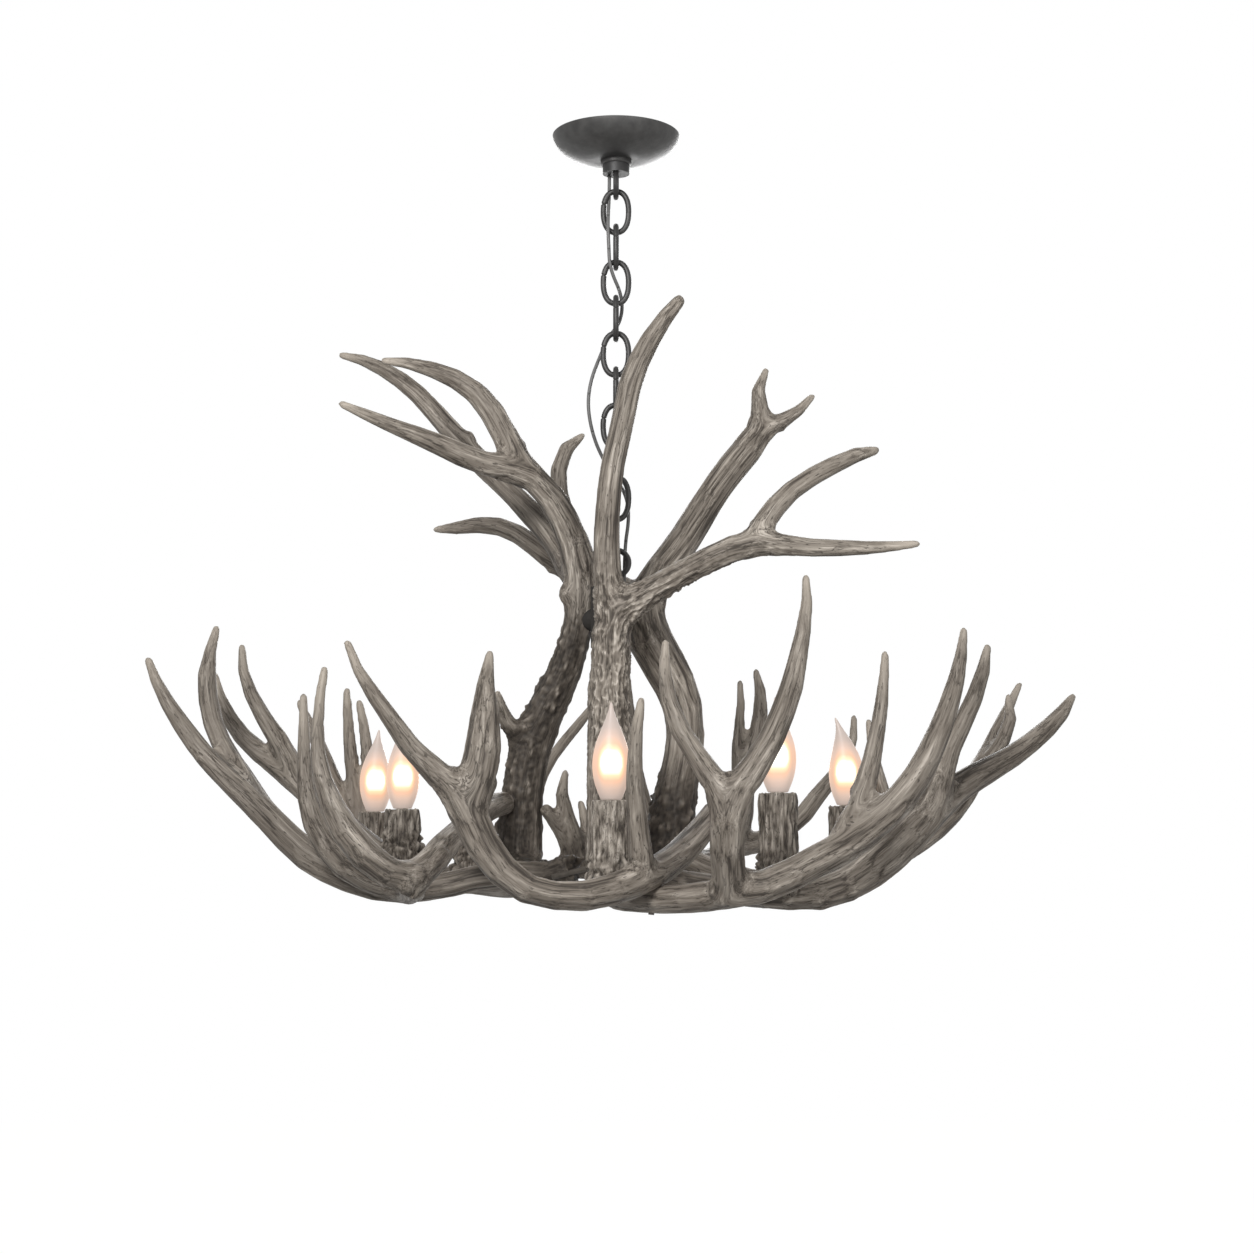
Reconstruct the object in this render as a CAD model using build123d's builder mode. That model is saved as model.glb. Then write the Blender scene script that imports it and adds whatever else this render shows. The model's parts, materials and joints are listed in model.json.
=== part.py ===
"""Antler chandelier with six candle lights, hung from a ceiling on a ten-link chain.

Millimetres, +Z up. The origin lies on the ceiling, at the centre of the crossbar.
Everything below hangs to negative Z. +X is to the viewer's right, -Y towards the viewer.
"""
from build123d import *
import os
from math import pi, radians, tan

os.makedirs("parts", exist_ok=True)

# ---------------------------------------------------------------- driving sizes, mm
# Ceiling plate and canopy
canopy_radius = 62.0
canopy_height = 25.0
canopy_wall = 1.2
canopy_flat_radius = 19.0    # level part round the collar
canopy_shoulder_radius = 45.0
canopy_shoulder_drop = 18.5  # below the ceiling, at the shoulder
crossbar_length = 105.0
crossbar_width = 16.0
crossbar_thickness = 2.5
slot_spacing = 83.0          # between the two slots that take the ceiling box's screws
slot_length = 12.0
slot_width = 4.4
crossbar_eye_wall = 5.0      # round the nipple
nipple_radius = 5.0
nipple_bore_radius = 3.2
nipple_in_collar = 5.4       # how far it screws into the loop's collar
nut_across_flats = 16.0
nut_height = 4.0
collar_radius = 13.0
collar_height = 9.0
ring_nut_radius = 15.0
ring_nut_height = 4.0
ring_nut_chamfer = 1.0

# Chain
link_count = 10
link_length = 46.5           # outside
link_width = 30.0            # outside
chain_wire = 5.5             # diameter
chain_play = 0.2             # between one link's wire and the next one's
wire_sides = 8
loop_outside = 30.0          # outside diameter of the canopy's loop and the fixture's loop

# Cord
cord_diameter = 3.5
cord_hole_clearance = 0.3
cord_seat = 5.0              # depth of the cord in the collar and in the hub

# Hub between the three crown antlers
hub_place = (-6.0, 8.0)      # its middle, right of and behind the chain
hub_radius = 18.0
hub_height = 58.0
hub_top = 306.0              # above the bowl's underside
hub_cavity_radius = 11.0
hub_cavity_height = 44.0
hub_arm_radius = 11.0        # arms that reach out to the three crown antlers
hook_height = 341.0          # top wire centre of the fixture's loop above the bowl's underside
loop_stem_radius = 5.0
hub_screw_radius = 2.5
hub_screw_spread = 5.5       # of an arm's two screws, above and below its middle
hub_screw_start = 5.5        # from the hub's middle to the screws' heads
hub_screw_head_radius = 3.0
hub_screw_head_height = 2.5

# Antlers
antlers_right = 4.0          # all antlers stand this far right of where their tables put them,
antlers_back = 11.0          # and this far back, so that the fixture hangs level on its chain
beam_sides = 8
section_step = 25.0          # between one cross-section and the next
tip_share = 0.6              # a tip narrows over this share of its radius,
tip_end = 0.45               # to this share of its radius
antler_screw_radius = 2.5

# Lights
cover_radius = 17.2
cover_wall = 4.0
cover_flare_radius = 23.0
cover_flare_height = 20.0
cover_skirt = 7.0            # how far the flared foot reaches down around its antler
cover_floor = 5.0
socket_radius = 12.2
socket_height = 34.0
socket_bore_depth = 21.0
socket_recess = 1.5          # below the cover's rim
lamp_nipple_radius = 4.8
lamp_nipple_depth = 14.0     # into the antler
bulb_radius = 16.6
bulb_height = 85.0           # above the cover's rim, with its flame tip
bulb_base_radius = 6.0
bulb_base_play = 0.3         # round the base and under it, in its socket
bulb_clearance = 0.4         # between the glass and the cover's rim
bulb_wall = 1.2
bulb_hole_radius = 3.5       # in the glass's floor, above the base
facet_turns = 20             # facets round a candle cover

# ---------------------------------------------------------------- heights worked out
canopy_bottom = -canopy_height
collar_bottom = canopy_bottom - ring_nut_height - collar_height
loop_radius = (loop_outside - chain_wire) / 2
top_loop_centre = collar_bottom - loop_radius + chain_wire / 4
top_loop_wire = top_loop_centre - loop_radius
hang_step = chain_wire + chain_play
link_drop = link_length - chain_wire
pitch = link_drop - hang_step
hook_wire = top_loop_wire - link_count * pitch + hang_step
bowl_z = hook_wire - hook_height
hub_top_z = bowl_z + hub_top
hub_bottom_z = hub_top_z - hub_height
socket_bore_radius = bulb_base_radius + bulb_base_play
bulb_base_height = bulb_clearance + socket_recess + socket_bore_depth - bulb_base_play


def up(height):
    """Z of a height above the bowl's underside."""
    return bowl_z + height


def place(x, y, height):
    """Point of the antlers' tables, which start at the bowl's underside, in the whole's frame."""
    return (x + antlers_right, y + antlers_back, up(height))


def save(builder, name):
    """Label a finished piece and write its STEP file."""
    builder.part.label = name
    export_step(builder.part, f"parts/{name}.step")


# ---------------------------------------------------------------- antler points
# Each branch is a list of (x, y, height above the bowl's underside, radius of the horn).
crown_left_branches = [
    [(-98, 40, 44, 25), (-96, 40, 90, 22), (-91, 36, 138, 22), (-73, 28, 188, 20.5),
     (-54, 22, 228, 18), (-43, 16, 262, 16), (-37, 14, 300, 15.7), (-41, 14, 338, 15),
     (-54, 10, 372, 13.2), (-70, 2, 398, 12.6), (-88, -8, 414, 12.4), (-116, -18, 420, 11),
     (-152, -30, 430, 10.2), (-183, -40, 443, 8.8), (-210, -45, 453, 7),
     (-238, -50, 464, 5.2), (-265, -55, 475, 3.1)],
    [(-86, -6, 412, 12), (-103, -8, 437, 11.6), (-119, -10, 468, 11), (-144, -10, 499, 9.6),
     (-173, -12, 514, 7.8), (-206, -14, 523, 5), (-231, -15, 525, 3.1)],
    [(-40, 18, 318, 12), (-60, 45, 342, 11.4), (-85, 74, 378, 10.4), (-108, 95, 405, 9.6),
     (-143, 114, 450, 10), (-178, 125, 488, 10), (-210, 135, 525, 9), (-241, 141, 549, 7.4),
     (-269, 146, 563, 5.2), (-293, 150, 569, 3.1)],
    [(-155, 118, 460, 8), (-153, 119, 481, 3.5)],
    [(-40, 14, 301, 8.8), (-58, 8, 301, 8.4)],
    [(-94, 34, 152, 12), (-109, 12, 178, 8.5), (-117, -14, 206, 3.5)],
]
crown_front_branches = [
    [(-11, -58, 36, 21), (-10, -56, 73, 20), (-10, -52, 123, 19.8), (-10, -48, 167, 19.8),
     (-10, -44, 210, 18.2), (-8, -42, 243, 17.2), (-4, -42, 276, 17.5), (13, -46, 288, 14.5),
     (36, -54, 300, 12.4), (67, -67, 316, 11.8), (98, -78, 330, 12), (128, -85, 337, 12),
     (162, -90, 333, 8.6), (194, -95, 331, 7.8), (235, -100, 331, 5.6), (275, -105, 334, 3.1)],
    [(-6, -42, 272, 16), (-12, -47, 311, 12.8), (-12, -55, 364, 11.2), (-6, -58, 418, 10.4),
     (3, -60, 459, 10.4), (12, -62, 499, 10.6), (24, -64, 525, 9.4), (40, -66, 551, 7.8),
     (59, -68, 574, 5.4)],
    [(120, -84, 334, 11), (140, -75, 366, 10), (165, -65, 393, 8.8), (196, -60, 412, 8.2),
     (224, -55, 426, 6.8), (245, -50, 431, 4)],
]
crown_right_branches = [
    [(46, 60, 50, 25), (49, 60, 75, 23.5), (53, 60, 102, 21.5), (59, 58, 130, 18.8),
     (64, 54, 168, 17.3), (59, 48, 203, 18.8), (44, 42, 234, 20.5), (28, 37, 262, 21),
     (23, 38, 289, 19.4), (34, 44, 318, 16.4), (61, 64, 358, 15), (91, 84, 408, 14.6),
     (116, 100, 444, 15), (135, 106, 469, 15), (147, 110, 484, 11.4), (167, 115, 492, 7.4),
     (184, 120, 505, 5.2), (199, 125, 522, 3.1)],
    [(139, 107, 474, 12.6), (142, 112, 508, 8.4), (142, 114, 532, 5.4), (151, 116, 547, 3.1)],
    [(28, 40, 286, 15), (2, 64, 311, 14), (-30, 90, 326, 12.8), (-61, 112, 343, 11),
     (-84, 128, 362, 10), (-110, 143, 382, 9.4), (-138, 154, 391, 8.8), (-168, 162, 389, 6.6),
     (-195, 168, 388, 3.1)],
    [(-16, 80, 320, 12), (-42, 108, 360, 10.2), (-59, 123, 406, 8.8), (-64, 129, 437, 8.6),
     (-56, 133, 466, 7.4), (-37, 136, 482, 3.1)],
]
bowl_front_branches = [
    [(88, -108, 90, 11), (66, -160, 64, 12), (30, -233, 35, 14), (2, -268, 23, 13.6),
     (-26, -285, 16, 12.4), (-52, -292, 16, 12), (-78, -296, 23, 12.6), (-100, -298, 42, 13.8),
     (-117, -300, 69, 15), (-128, -302, 94, 14.8), (-146, -305, 114, 11.8),
     (-161, -310, 127, 9.4), (-177, -316, 148, 7.8), (-196, -322, 175, 6.4),
     (-213, -328, 203, 4), (-220, -331, 223, 3.1)],
    [(-124, -301, 84, 14), (-114, -300, 116, 15), (-110, -298, 146, 14), (-110, -296, 173, 9.6),
     (-109, -294, 197, 5.8), (-106, -292, 218, 3.1)],
    [(20, -248, 32, 11), (17, -262, 62, 9.4), (14, -271, 92, 7.8), (13, -279, 124, 6.4),
     (15, -284, 155, 5), (19, -287, 180, 3.1)],
]
bowl_front_right_branches = [
    [(-10, -82, 30, 13), (-8, -136, 19, 12), (0, -190, 14, 12), (30, -234, 12, 12),
     (63, -264, 14, 12.6), (92, -280, 18, 13.4), (126, -284, 26, 13.8), (161, -275, 43, 13.8),
     (196, -260, 62, 13.4), (232, -240, 91, 13), (262, -220, 130, 11.6), (279, -207, 164, 9.6),
     (291, -198, 196, 7.7), (299, -191, 230, 4.9), (301, -188, 248, 3.1)],
    [(88, -281, 16, 13), (88, -308, 52, 13.6), (88, -320, 79, 14.8), (97, -321, 102, 13.6),
     (114, -318, 126, 11), (128, -312, 152, 10.2), (141, -304, 186, 9.4), (149, -298, 219, 7.2),
     (155, -292, 252, 5.1), (155, -288, 282, 3.1)],
    [(88, -320, 84, 14), (79, -318, 106, 10.8), (68, -312, 123, 8.8), (56, -306, 141, 8.2),
     (45, -300, 163, 7.4), (38, -294, 194, 5.6), (39, -290, 227, 3.1)],
    [(184, -265, 56, 12.2), (200, -236, 89, 10.2), (212, -215, 114, 9.6), (219, -205, 138, 7.4),
     (226, -196, 171, 6.5), (232, -188, 227, 3.1)],
]
bowl_right_branches = [
    [(16, -52, 34, 12.5), (58, -54, 24, 12.2), (108, -84, 16, 12.4), (145, -132, 14, 13),
     (182, -145, 17, 15.7), (222, -138, 38, 17.4), (252, -122, 62, 17.9), (280, -104, 88, 16.1),
     (307, -86, 110, 13.4), (335, -70, 126, 12.1), (367, -50, 143, 10.4), (395, -35, 163, 9.2),
     (420, -20, 186, 6.8), (432, -12, 203, 3.1)],
    [(268, -110, 76, 14.9), (290, -112, 116, 11.6), (299, -114, 147, 9.6), (315, -116, 179, 8.6),
     (327, -118, 210, 7), (333, -120, 241, 3.1)],
]
bowl_right_rear_branches = [
    [(60, 44, 46, 13.5), (112, 32, 27, 13), (170, 28, 20, 13.8), (222, 36, 28, 14),
     (272, 50, 54, 13.6), (315, 64, 84, 13), (343, 80, 115, 11.5), (365, 100, 148, 9.1),
     (384, 120, 181, 7), (408, 138, 226, 3.1)],
    [(350, 84, 122, 9.6), (375, 90, 154, 8), (388, 92, 180, 6.8), (387, 94, 211, 3.1)],
    [(268, 48, 52, 10.6), (262, 54, 90, 7.9), (254, 60, 125, 6.3), (245, 72, 185, 3.1)],
]
bowl_back_branches = [
    [(-48, 62, 42, 17), (-6, 74, 41, 14.5), (44, 78, 41, 13.8), (82, 130, 42, 13.5),
     (112, 200, 56, 13), (128, 246, 90, 12), (131, 262, 126, 10.6), (126, 270, 158, 7.2),
     (128, 276, 190, 5.4), (129, 281, 240, 3.1)],
    [(130, 256, 112, 10.2), (141, 270, 157, 9.2), (151, 280, 202, 8), (151, 284, 232, 5.6),
     (146, 286, 253, 3.1)],
    [(112, 205, 58, 12), (156, 234, 68, 10.8), (189, 241, 88, 9.6), (213, 244, 119, 8.5),
     (235, 247, 144, 6.8), (248, 250, 172, 4.6), (249, 250, 200, 3.1)],
    [(60, 98, 42, 11), (30, 168, 88, 7.8), (15, 184, 146, 6.2), (9, 190, 201, 5.6),
     (6, 194, 248, 3.1)],
    [(-44, 62, 44, 13), (-51, 48, 82, 8.7), (-56, 40, 104, 6.4), (-52, 34, 133, 3.1)],
    [(-46, 60, 52, 8), (-62, 44, 80, 6), (-74, 30, 97, 6)],
    [(-37, 64, 50, 8), (-33, 67, 76, 5.8), (-40, 70, 105, 3.1)],
]
bowl_back_left_branches = [
    [(-74, 62, 33, 15), (-104, 118, 22, 13.8), (-146, 188, 22, 13.4), (-196, 214, 28, 12.1),
     (-240, 206, 36, 11.4), (-276, 216, 62, 10.7), (-292, 222, 96, 9.4), (-306, 226, 134, 8.1),
     (-322, 229, 172, 6.4), (-342, 230, 214, 3.1)],
    [(-274, 216, 60, 8.2), (-281, 224, 120, 7), (-287, 228, 168, 5.7), (-291, 232, 228, 3.1)],
    [(-260, 211, 48, 8.2), (-264, 222, 120, 6.6), (-271, 229, 182, 4.8), (-278, 232, 215, 3.1)],
    [(-100, 112, 24, 10), (-93, 134, 75, 7.2), (-78, 164, 137, 5.8), (-47, 190, 182, 5.4),
     (-18, 210, 223, 3.1)],
]
bowl_left_branches = [
    [(-42, -50, 37, 16), (-70, -40, 30, 13.2), (-101, -28, 32, 13.2), (-133, -20, 29, 12.2),
     (-160, -15, 22, 11.8), (-190, -12, 18, 10.9), (-220, -10, 18, 10.9), (-244, -8, 24, 11.3),
     (-270, -5, 35, 11.9), (-296, -2, 50, 12.5), (-321, 0, 72, 11.8), (-345, 0, 96, 10.9),
     (-372, 0, 121, 9.7), (-397, 0, 146, 8.6), (-418, 0, 173, 7.5), (-435, 0, 199, 6),
     (-453, 0, 239, 3.1)],
    [(-328, 2, 78, 10.5), (-356, 10, 115, 9.6), (-374, 18, 142, 8.8), (-388, 26, 163, 8.6),
     (-400, 34, 198, 8.2), (-403, 38, 222, 8), (-401, 42, 248, 5.1), (-395, 45, 274, 3.1)],
    [(-206, -8, 19, 10.1), (-211, 50, 28, 11.1), (-226, 98, 41, 11.6), (-260, 104, 66, 11.8),
     (-292, 107, 96, 12.1), (-326, 112, 126, 11.4), (-350, 118, 144, 10.1), (-376, 122, 164, 8.2),
     (-398, 126, 192, 7), (-413, 130, 235, 3.1)],
    [(-323, 111, 122, 10.1), (-340, 107, 160, 8.7), (-354, 104, 182, 7.4), (-370, 102, 210, 6.1),
     (-380, 100, 261, 3.1)],
]
bowl_front_left_branches = [
    [(-112, 30, 100, 12), (-122, -20, 94, 11.6), (-136, -85, 79, 11.4), (-150, -140, 63, 11.2),
     (-162, -180, 45, 12.2), (-178, -203, 29, 14), (-198, -211, 35, 11.6), (-216, -214, 49, 11.8),
     (-234, -212, 71, 10.9), (-247, -208, 94, 8.9), (-257, -202, 120, 6.6), (-261, -198, 155, 4.8),
     (-259, -194, 194, 3.7), (-256, -192, 213, 3.1)],
    [(-178, -204, 26, 11), (-177, -207, 11, 5)],
    [(-172, -192, 32, 11), (-186, -120, 21, 10.1), (-214, -30, 21, 10.9), (-250, -38, 38, 12.3),
     (-272, -42, 61, 11.9), (-288, -42, 89, 9.4), (-294, -40, 119, 6.9), (-296, -38, 147, 5.5),
     (-298, -34, 202, 3.1)],
]

# Where the candle lights stand: (x, y, rim height, seat height on the antler below)
lights = [(-7, -190, 97, 25), (141, -138, 105, 27), (219, 36, 98, 39),
          (-254, 186, 95, 46), (-217, 98, 96, 50), (-152, 190, 96, 35)]

# Where the hub's arms meet the crown antlers: (x, y, height) of each beam's middle
hub_arms = [(-6, -42, 270), (-39, 15, 276), (23, 38, 289)]

# Long wood screws that hold one antler to another: (start, end), heights as above
antler_joints = [((-62, -66, 30), (-14, -52, 42)), ((-12, -100, 16), (-10, -66, 50)),
                 ((40, -52, 20), (2, -56, 46)), ((27, -236, 0), (32, -232, 44)),
                 ((-128, 8, 98), (-90, 44, 104)), ((-60, 76, 22), (-104, 44, 56)),
                 ((-62, 58, 28), (-36, 66, 50)), ((44, 82, 30), (48, 62, 70)),
                 ((80, 30, 34), (46, 56, 70)), ((-214, -42, 18), (-213, -4, 20))]

# Cord route, from the canopy's collar to the hub: (x, y, height above the bowl's underside)
cord_top = (-6.5, 6.5)
cord_foot = (8, 9)
cord_middle = [(-6.5, 6.5, 693), (-8, -8, 661), (-7, -9, 638), (-6, -7.5, 615),
               (6.5, 8, 591), (5, 21, 570), (-8, 19, 553), (-16, 9, 531), (-24, 4, 509),
               (-27.5, 2, 485), (-24, 4, 460), (-16, 12, 438), (-3, 22, 418), (10, 16, 398),
               (13, 7, 373), (8, 9, 343)]
cord_points = [(*cord_top, collar_bottom + cord_seat)]
cord_points += [(x, y, up(height)) for x, y, height in cord_middle]
cord_points += [(*cord_foot, hub_top_z - cord_seat)]


# ---------------------------------------------------------------- small tools
def radius_along(points, share):
    """Radius of a branch at a share of its length, straight between its points."""
    ends = [Vector(*point[:3]) for point in points]
    runs = [(b - a).length for a, b in zip(ends, ends[1:])]
    left = share * sum(runs)
    for run, point, following in zip(runs, points, points[1:]):
        if left <= run:
            return point[3] + (following[3] - point[3]) * left / run
        left -= run
    return points[-1][3]


def grow_branch(points):
    """Loft one tapering branch of horn along a smooth line through its points."""
    with BuildLine(mode=Mode.PRIVATE) as middle:
        Spline(*[place(x, y, height) for x, y, height, radius in points])
    line = middle.edges()[0]
    count = max(2, round(line.length / section_step))
    tip_radius = points[-1][3]
    shares = [index / count for index in range(count)]
    stations = [(share, radius_along(points, share)) for share in shares]
    stations += [(1 - tip_share * tip_radius / line.length, tip_radius), (1, tip_radius * tip_end)]
    across = Vector(0, 1, 0).cross(line.tangent_at(0))
    sections = []
    for share, radius in stations:
        along = line.tangent_at(share)
        across = (across - along * across.dot(along)).normalized()
        station = Plane(origin=line.position_at(share), x_dir=across, z_dir=along)
        with BuildSketch(station) as section:
            RegularPolygon(radius, beam_sides)
        sections.append(section.sketch.face())
    loft(sections, ruled=True)


def rod_between(start, end, radius):
    """Add a plain round rod from one point to the other."""
    first = Vector(*start)
    last = Vector(*end)
    with BuildSketch(Plane(origin=first, z_dir=last - first)) as section:
        Circle(radius)
    extrude(section.sketch, amount=(last - first).length)


def wire_round(middle, facing, bend, turn):
    """Bend the chain's wire through a turn about a middle, from its right side upwards."""
    with BuildSketch(Plane(middle + facing * bend, x_dir=facing, z_dir=(0, 0, 1))) as wire:
        RegularPolygon(chain_wire / 2, wire_sides)
    pin = facing.cross(Vector(0, 0, 1))
    revolve(wire.sketch, axis=Axis(middle, pin), revolution_arc=turn)


def wire_link(centre_z, facing, bend, straight):
    """Close a chain link from two half rounds and two straight sides."""
    for end in (1, -1):
        middle = Vector(0, 0, centre_z + end * straight / 2)
        wire_round(middle, facing, bend, 180 * end)
    for side in (1, -1):
        foot = Vector(0, 0, centre_z - straight / 2) + facing * bend * side
        with BuildSketch(Plane(foot, x_dir=facing, z_dir=(0, 0, 1))) as wire:
            RegularPolygon(chain_wire / 2, wire_sides)
        extrude(wire.sketch, amount=straight)


def cord_radii(points):
    """Arc radius at each corner of the route, from the shorter run beside it."""
    radii = []
    for before, here, after in zip(points, points[1:], points[2:]):
        first = Vector(*here) - Vector(*before)
        second = Vector(*after) - Vector(*here)
        half_turn = radians(first.get_angle(second)) / 2
        radii.append(0.45 * min(first.length, second.length) / tan(half_turn))
    return radii


# ---------------------------------------------------------------- ceiling pieces
with BuildPart() as crossbar:
    with BuildSketch(Plane.XY.offset(-crossbar_thickness)):
        SlotOverall(crossbar_length, crossbar_width)
        Circle(nipple_radius + crossbar_eye_wall)
        Circle(nipple_radius, mode=Mode.SUBTRACT)
        with GridLocations(slot_spacing, 0, 2, 1):
            SlotOverall(slot_length, slot_width, mode=Mode.SUBTRACT)
    extrude(amount=crossbar_thickness)
save(crossbar, "crossbar")

canopy_floor = canopy_bottom + canopy_wall
shoulder = (canopy_shoulder_radius, -canopy_shoulder_drop)
inner_shoulder = (canopy_shoulder_radius - canopy_wall, canopy_wall - canopy_shoulder_drop)
with BuildPart() as canopy:
    with BuildSketch(Plane.XZ):
        with BuildLine():
            Polyline((nipple_radius, canopy_bottom), (canopy_flat_radius, canopy_bottom))
            Spline((canopy_flat_radius, canopy_bottom), shoulder, (canopy_radius, 0),
                   tangents=((1, 0), (0.25, 1)))
            Polyline((canopy_radius, 0), (canopy_radius - canopy_wall, 0))
            Spline((canopy_radius - canopy_wall, 0), inner_shoulder,
                   (canopy_flat_radius, canopy_floor), tangents=((-0.25, -1), (-1, 0)))
            Polyline((canopy_flat_radius, canopy_floor), (nipple_radius, canopy_floor),
                     (nipple_radius, canopy_bottom))
        make_face()
    revolve(axis=Axis.Z)
save(canopy, "canopy")

nipple_bottom = canopy_bottom - ring_nut_height - nipple_in_collar
with BuildPart() as canopy_nipple:
    with BuildSketch(Plane.XY.offset(nipple_bottom)):
        Circle(nipple_radius)
        Circle(nipple_bore_radius, mode=Mode.SUBTRACT)
    extrude(amount=-nipple_bottom)
save(canopy_nipple, "canopy_nipple")

with BuildPart() as nipple_nut:
    with BuildSketch(Plane.XY.offset(-crossbar_thickness - nut_height)):
        RegularPolygon(nut_across_flats / 2, 6, major_radius=False)
        Circle(nipple_radius, mode=Mode.SUBTRACT)
    extrude(amount=nut_height)
save(nipple_nut, "nipple_nut")

with BuildPart() as collar_ring:
    with BuildSketch(Plane.XY.offset(canopy_bottom - ring_nut_height)):
        Circle(ring_nut_radius)
        Circle(nipple_radius, mode=Mode.SUBTRACT)
    extrude(amount=ring_nut_height)
    chamfer(collar_ring.edges().group_by(Axis.Z)[0].sort_by(SortBy.RADIUS)[-1],
            ring_nut_chamfer)
save(collar_ring, "collar_ring")

cord_hole_radius = cord_diameter / 2 + cord_hole_clearance
with BuildPart() as canopy_loop:
    with BuildSketch(Plane.XY.offset(collar_bottom)):
        Circle(collar_radius)
    extrude(amount=collar_height)
    wire_round(Vector(0, 0, top_loop_centre), Vector(0, 1, 0), loop_radius, 360)
    with BuildSketch(Plane.XY.offset(nipple_bottom)):
        Circle(nipple_radius)
    extrude(amount=collar_height, mode=Mode.SUBTRACT)
    with BuildSketch(Plane((*cord_top, collar_bottom))):
        Circle(cord_hole_radius)
    extrude(amount=cord_seat, mode=Mode.SUBTRACT)
save(canopy_loop, "canopy_loop")

# ---------------------------------------------------------------- chain
straight_side = link_length - link_width
link_bend = (link_width - chain_wire) / 2
for number in range(1, link_count + 1):
    top_wire = top_loop_wire + hang_step - (number - 1) * pitch
    facing = Vector(1, 0, 0) if number % 2 else Vector(0, 1, 0)
    with BuildPart() as chain_link:
        wire_link(top_wire - link_drop / 2, facing, link_bend, straight_side)
    save(chain_link, f"chain_link_{number:02d}")

# ---------------------------------------------------------------- hub and its loop
hook_centre = hook_wire - loop_radius
stem_top = hook_centre - loop_radius + chain_wire / 4
with BuildPart() as fixture_loop:
    with BuildSketch(Plane.XY.offset(hub_bottom_z + hub_cavity_height)):
        Circle(loop_stem_radius)
    extrude(amount=stem_top - hub_bottom_z - hub_cavity_height)
    wire_round(Vector(0, 0, hook_centre), Vector(1, 0, 0), loop_radius, 360)
save(fixture_loop, "fixture_loop")

with BuildPart() as hub_screws:
    for beam_x, beam_y, level in hub_arms:
        beam = Vector(*place(beam_x, beam_y, level))
        core = Vector(*hub_place, up(level))
        aim = (beam - core).normalized()
        for side in (1, -1):
            offset = Vector(0, 0, side * hub_screw_spread)
            head = core + offset + aim * hub_screw_start
            shank = head + aim * hub_screw_head_height
            rod_between(head, shank, hub_screw_head_radius)
            rod_between(shank, beam + offset, hub_screw_radius)
save(hub_screws, "hub_screws")

# ---------------------------------------------------------------- screws between antlers
with BuildPart() as antler_screws:
    for start, end in antler_joints:
        rod_between(place(*start), place(*end), antler_screw_radius)
save(antler_screws, "antler_screws")

with BuildPart() as lamp_nipples:
    for x, y, rim, seat in lights:
        nipple_top = up(rim) - socket_recess - socket_height
        with BuildSketch(Plane(place(x, y, seat - lamp_nipple_depth))):
            Circle(lamp_nipple_radius)
        extrude(amount=nipple_top - up(seat) + lamp_nipple_depth)
save(lamp_nipples, "lamp_nipples")


# ---------------------------------------------------------------- antlers
fasteners = [hub_screws.part, antler_screws.part, lamp_nipples.part]
antler_plan = [
    ("crown_antler_left", crown_left_branches, []),
    ("crown_antler_front", crown_front_branches, []),
    ("crown_antler_right", crown_right_branches, []),
    ("bowl_antler_left", bowl_left_branches, ["crown_antler_front"]),
    ("bowl_antler_front_right", bowl_front_right_branches, ["crown_antler_front"]),
    ("bowl_antler_front", bowl_front_branches, ["bowl_antler_front_right"]),
    ("bowl_antler_right", bowl_right_branches, ["crown_antler_front"]),
    ("bowl_antler_right_rear", bowl_right_rear_branches, ["crown_antler_right"]),
    ("bowl_antler_back_left", bowl_back_left_branches, ["crown_antler_left"]),
    ("bowl_antler_back", bowl_back_branches,
     ["crown_antler_right", "crown_antler_left", "bowl_antler_back_left"]),
    ("bowl_antler_front_left", bowl_front_left_branches,
     ["crown_antler_left", "bowl_antler_left"]),
]
antlers = {}
for name, branches, seats in antler_plan:
    with BuildPart() as antler:
        for points in branches:
            grow_branch(points)
        for seat in seats:
            add(antlers[seat], mode=Mode.SUBTRACT)
        for fastener in fasteners:
            add(fastener, mode=Mode.SUBTRACT)
    antlers[name] = antler.part
    save(antler, name)

with BuildPart() as waist_hub:
    with BuildSketch(Plane((*hub_place, hub_bottom_z))):
        Circle(hub_radius)
    extrude(amount=hub_height)
    for beam_x, beam_y, level in hub_arms:
        rod_between((*hub_place, up(level)), place(beam_x, beam_y, level), hub_arm_radius)
    with BuildSketch(Plane((*hub_place, hub_bottom_z))):
        Circle(hub_cavity_radius)
    extrude(amount=hub_cavity_height, mode=Mode.SUBTRACT)
    with BuildSketch(Plane((*cord_foot, hub_top_z - cord_seat))):
        Circle(cord_hole_radius)
    extrude(amount=cord_seat, mode=Mode.SUBTRACT)
    for crown in ("crown_antler_left", "crown_antler_front", "crown_antler_right"):
        add(antlers[crown], mode=Mode.SUBTRACT)
    add(hub_screws.part, mode=Mode.SUBTRACT)
    add(fixture_loop.part, mode=Mode.SUBTRACT)
save(waist_hub, "waist_hub")

# ---------------------------------------------------------------- cord
radii = cord_radii(cord_points)
print("cord radii", [round(radius, 1) for radius in radii])
with BuildPart() as supply_cord:
    with BuildLine() as route:
        FilletPolyline(*cord_points, radius=radii)
    with BuildSketch(Plane(route.line @ 0, z_dir=route.line % 0)):
        Circle(cord_diameter / 2)
    sweep(path=route.wires()[0])
cord_length = route.wires()[0].length
cord_volume = pi * cord_diameter ** 2 / 4 * cord_length
print("cord length", round(cord_length, 1))
print("cord volume share", round(supply_cord.part.volume / cord_volume, 4))
save(supply_cord, "supply_cord")


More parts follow.
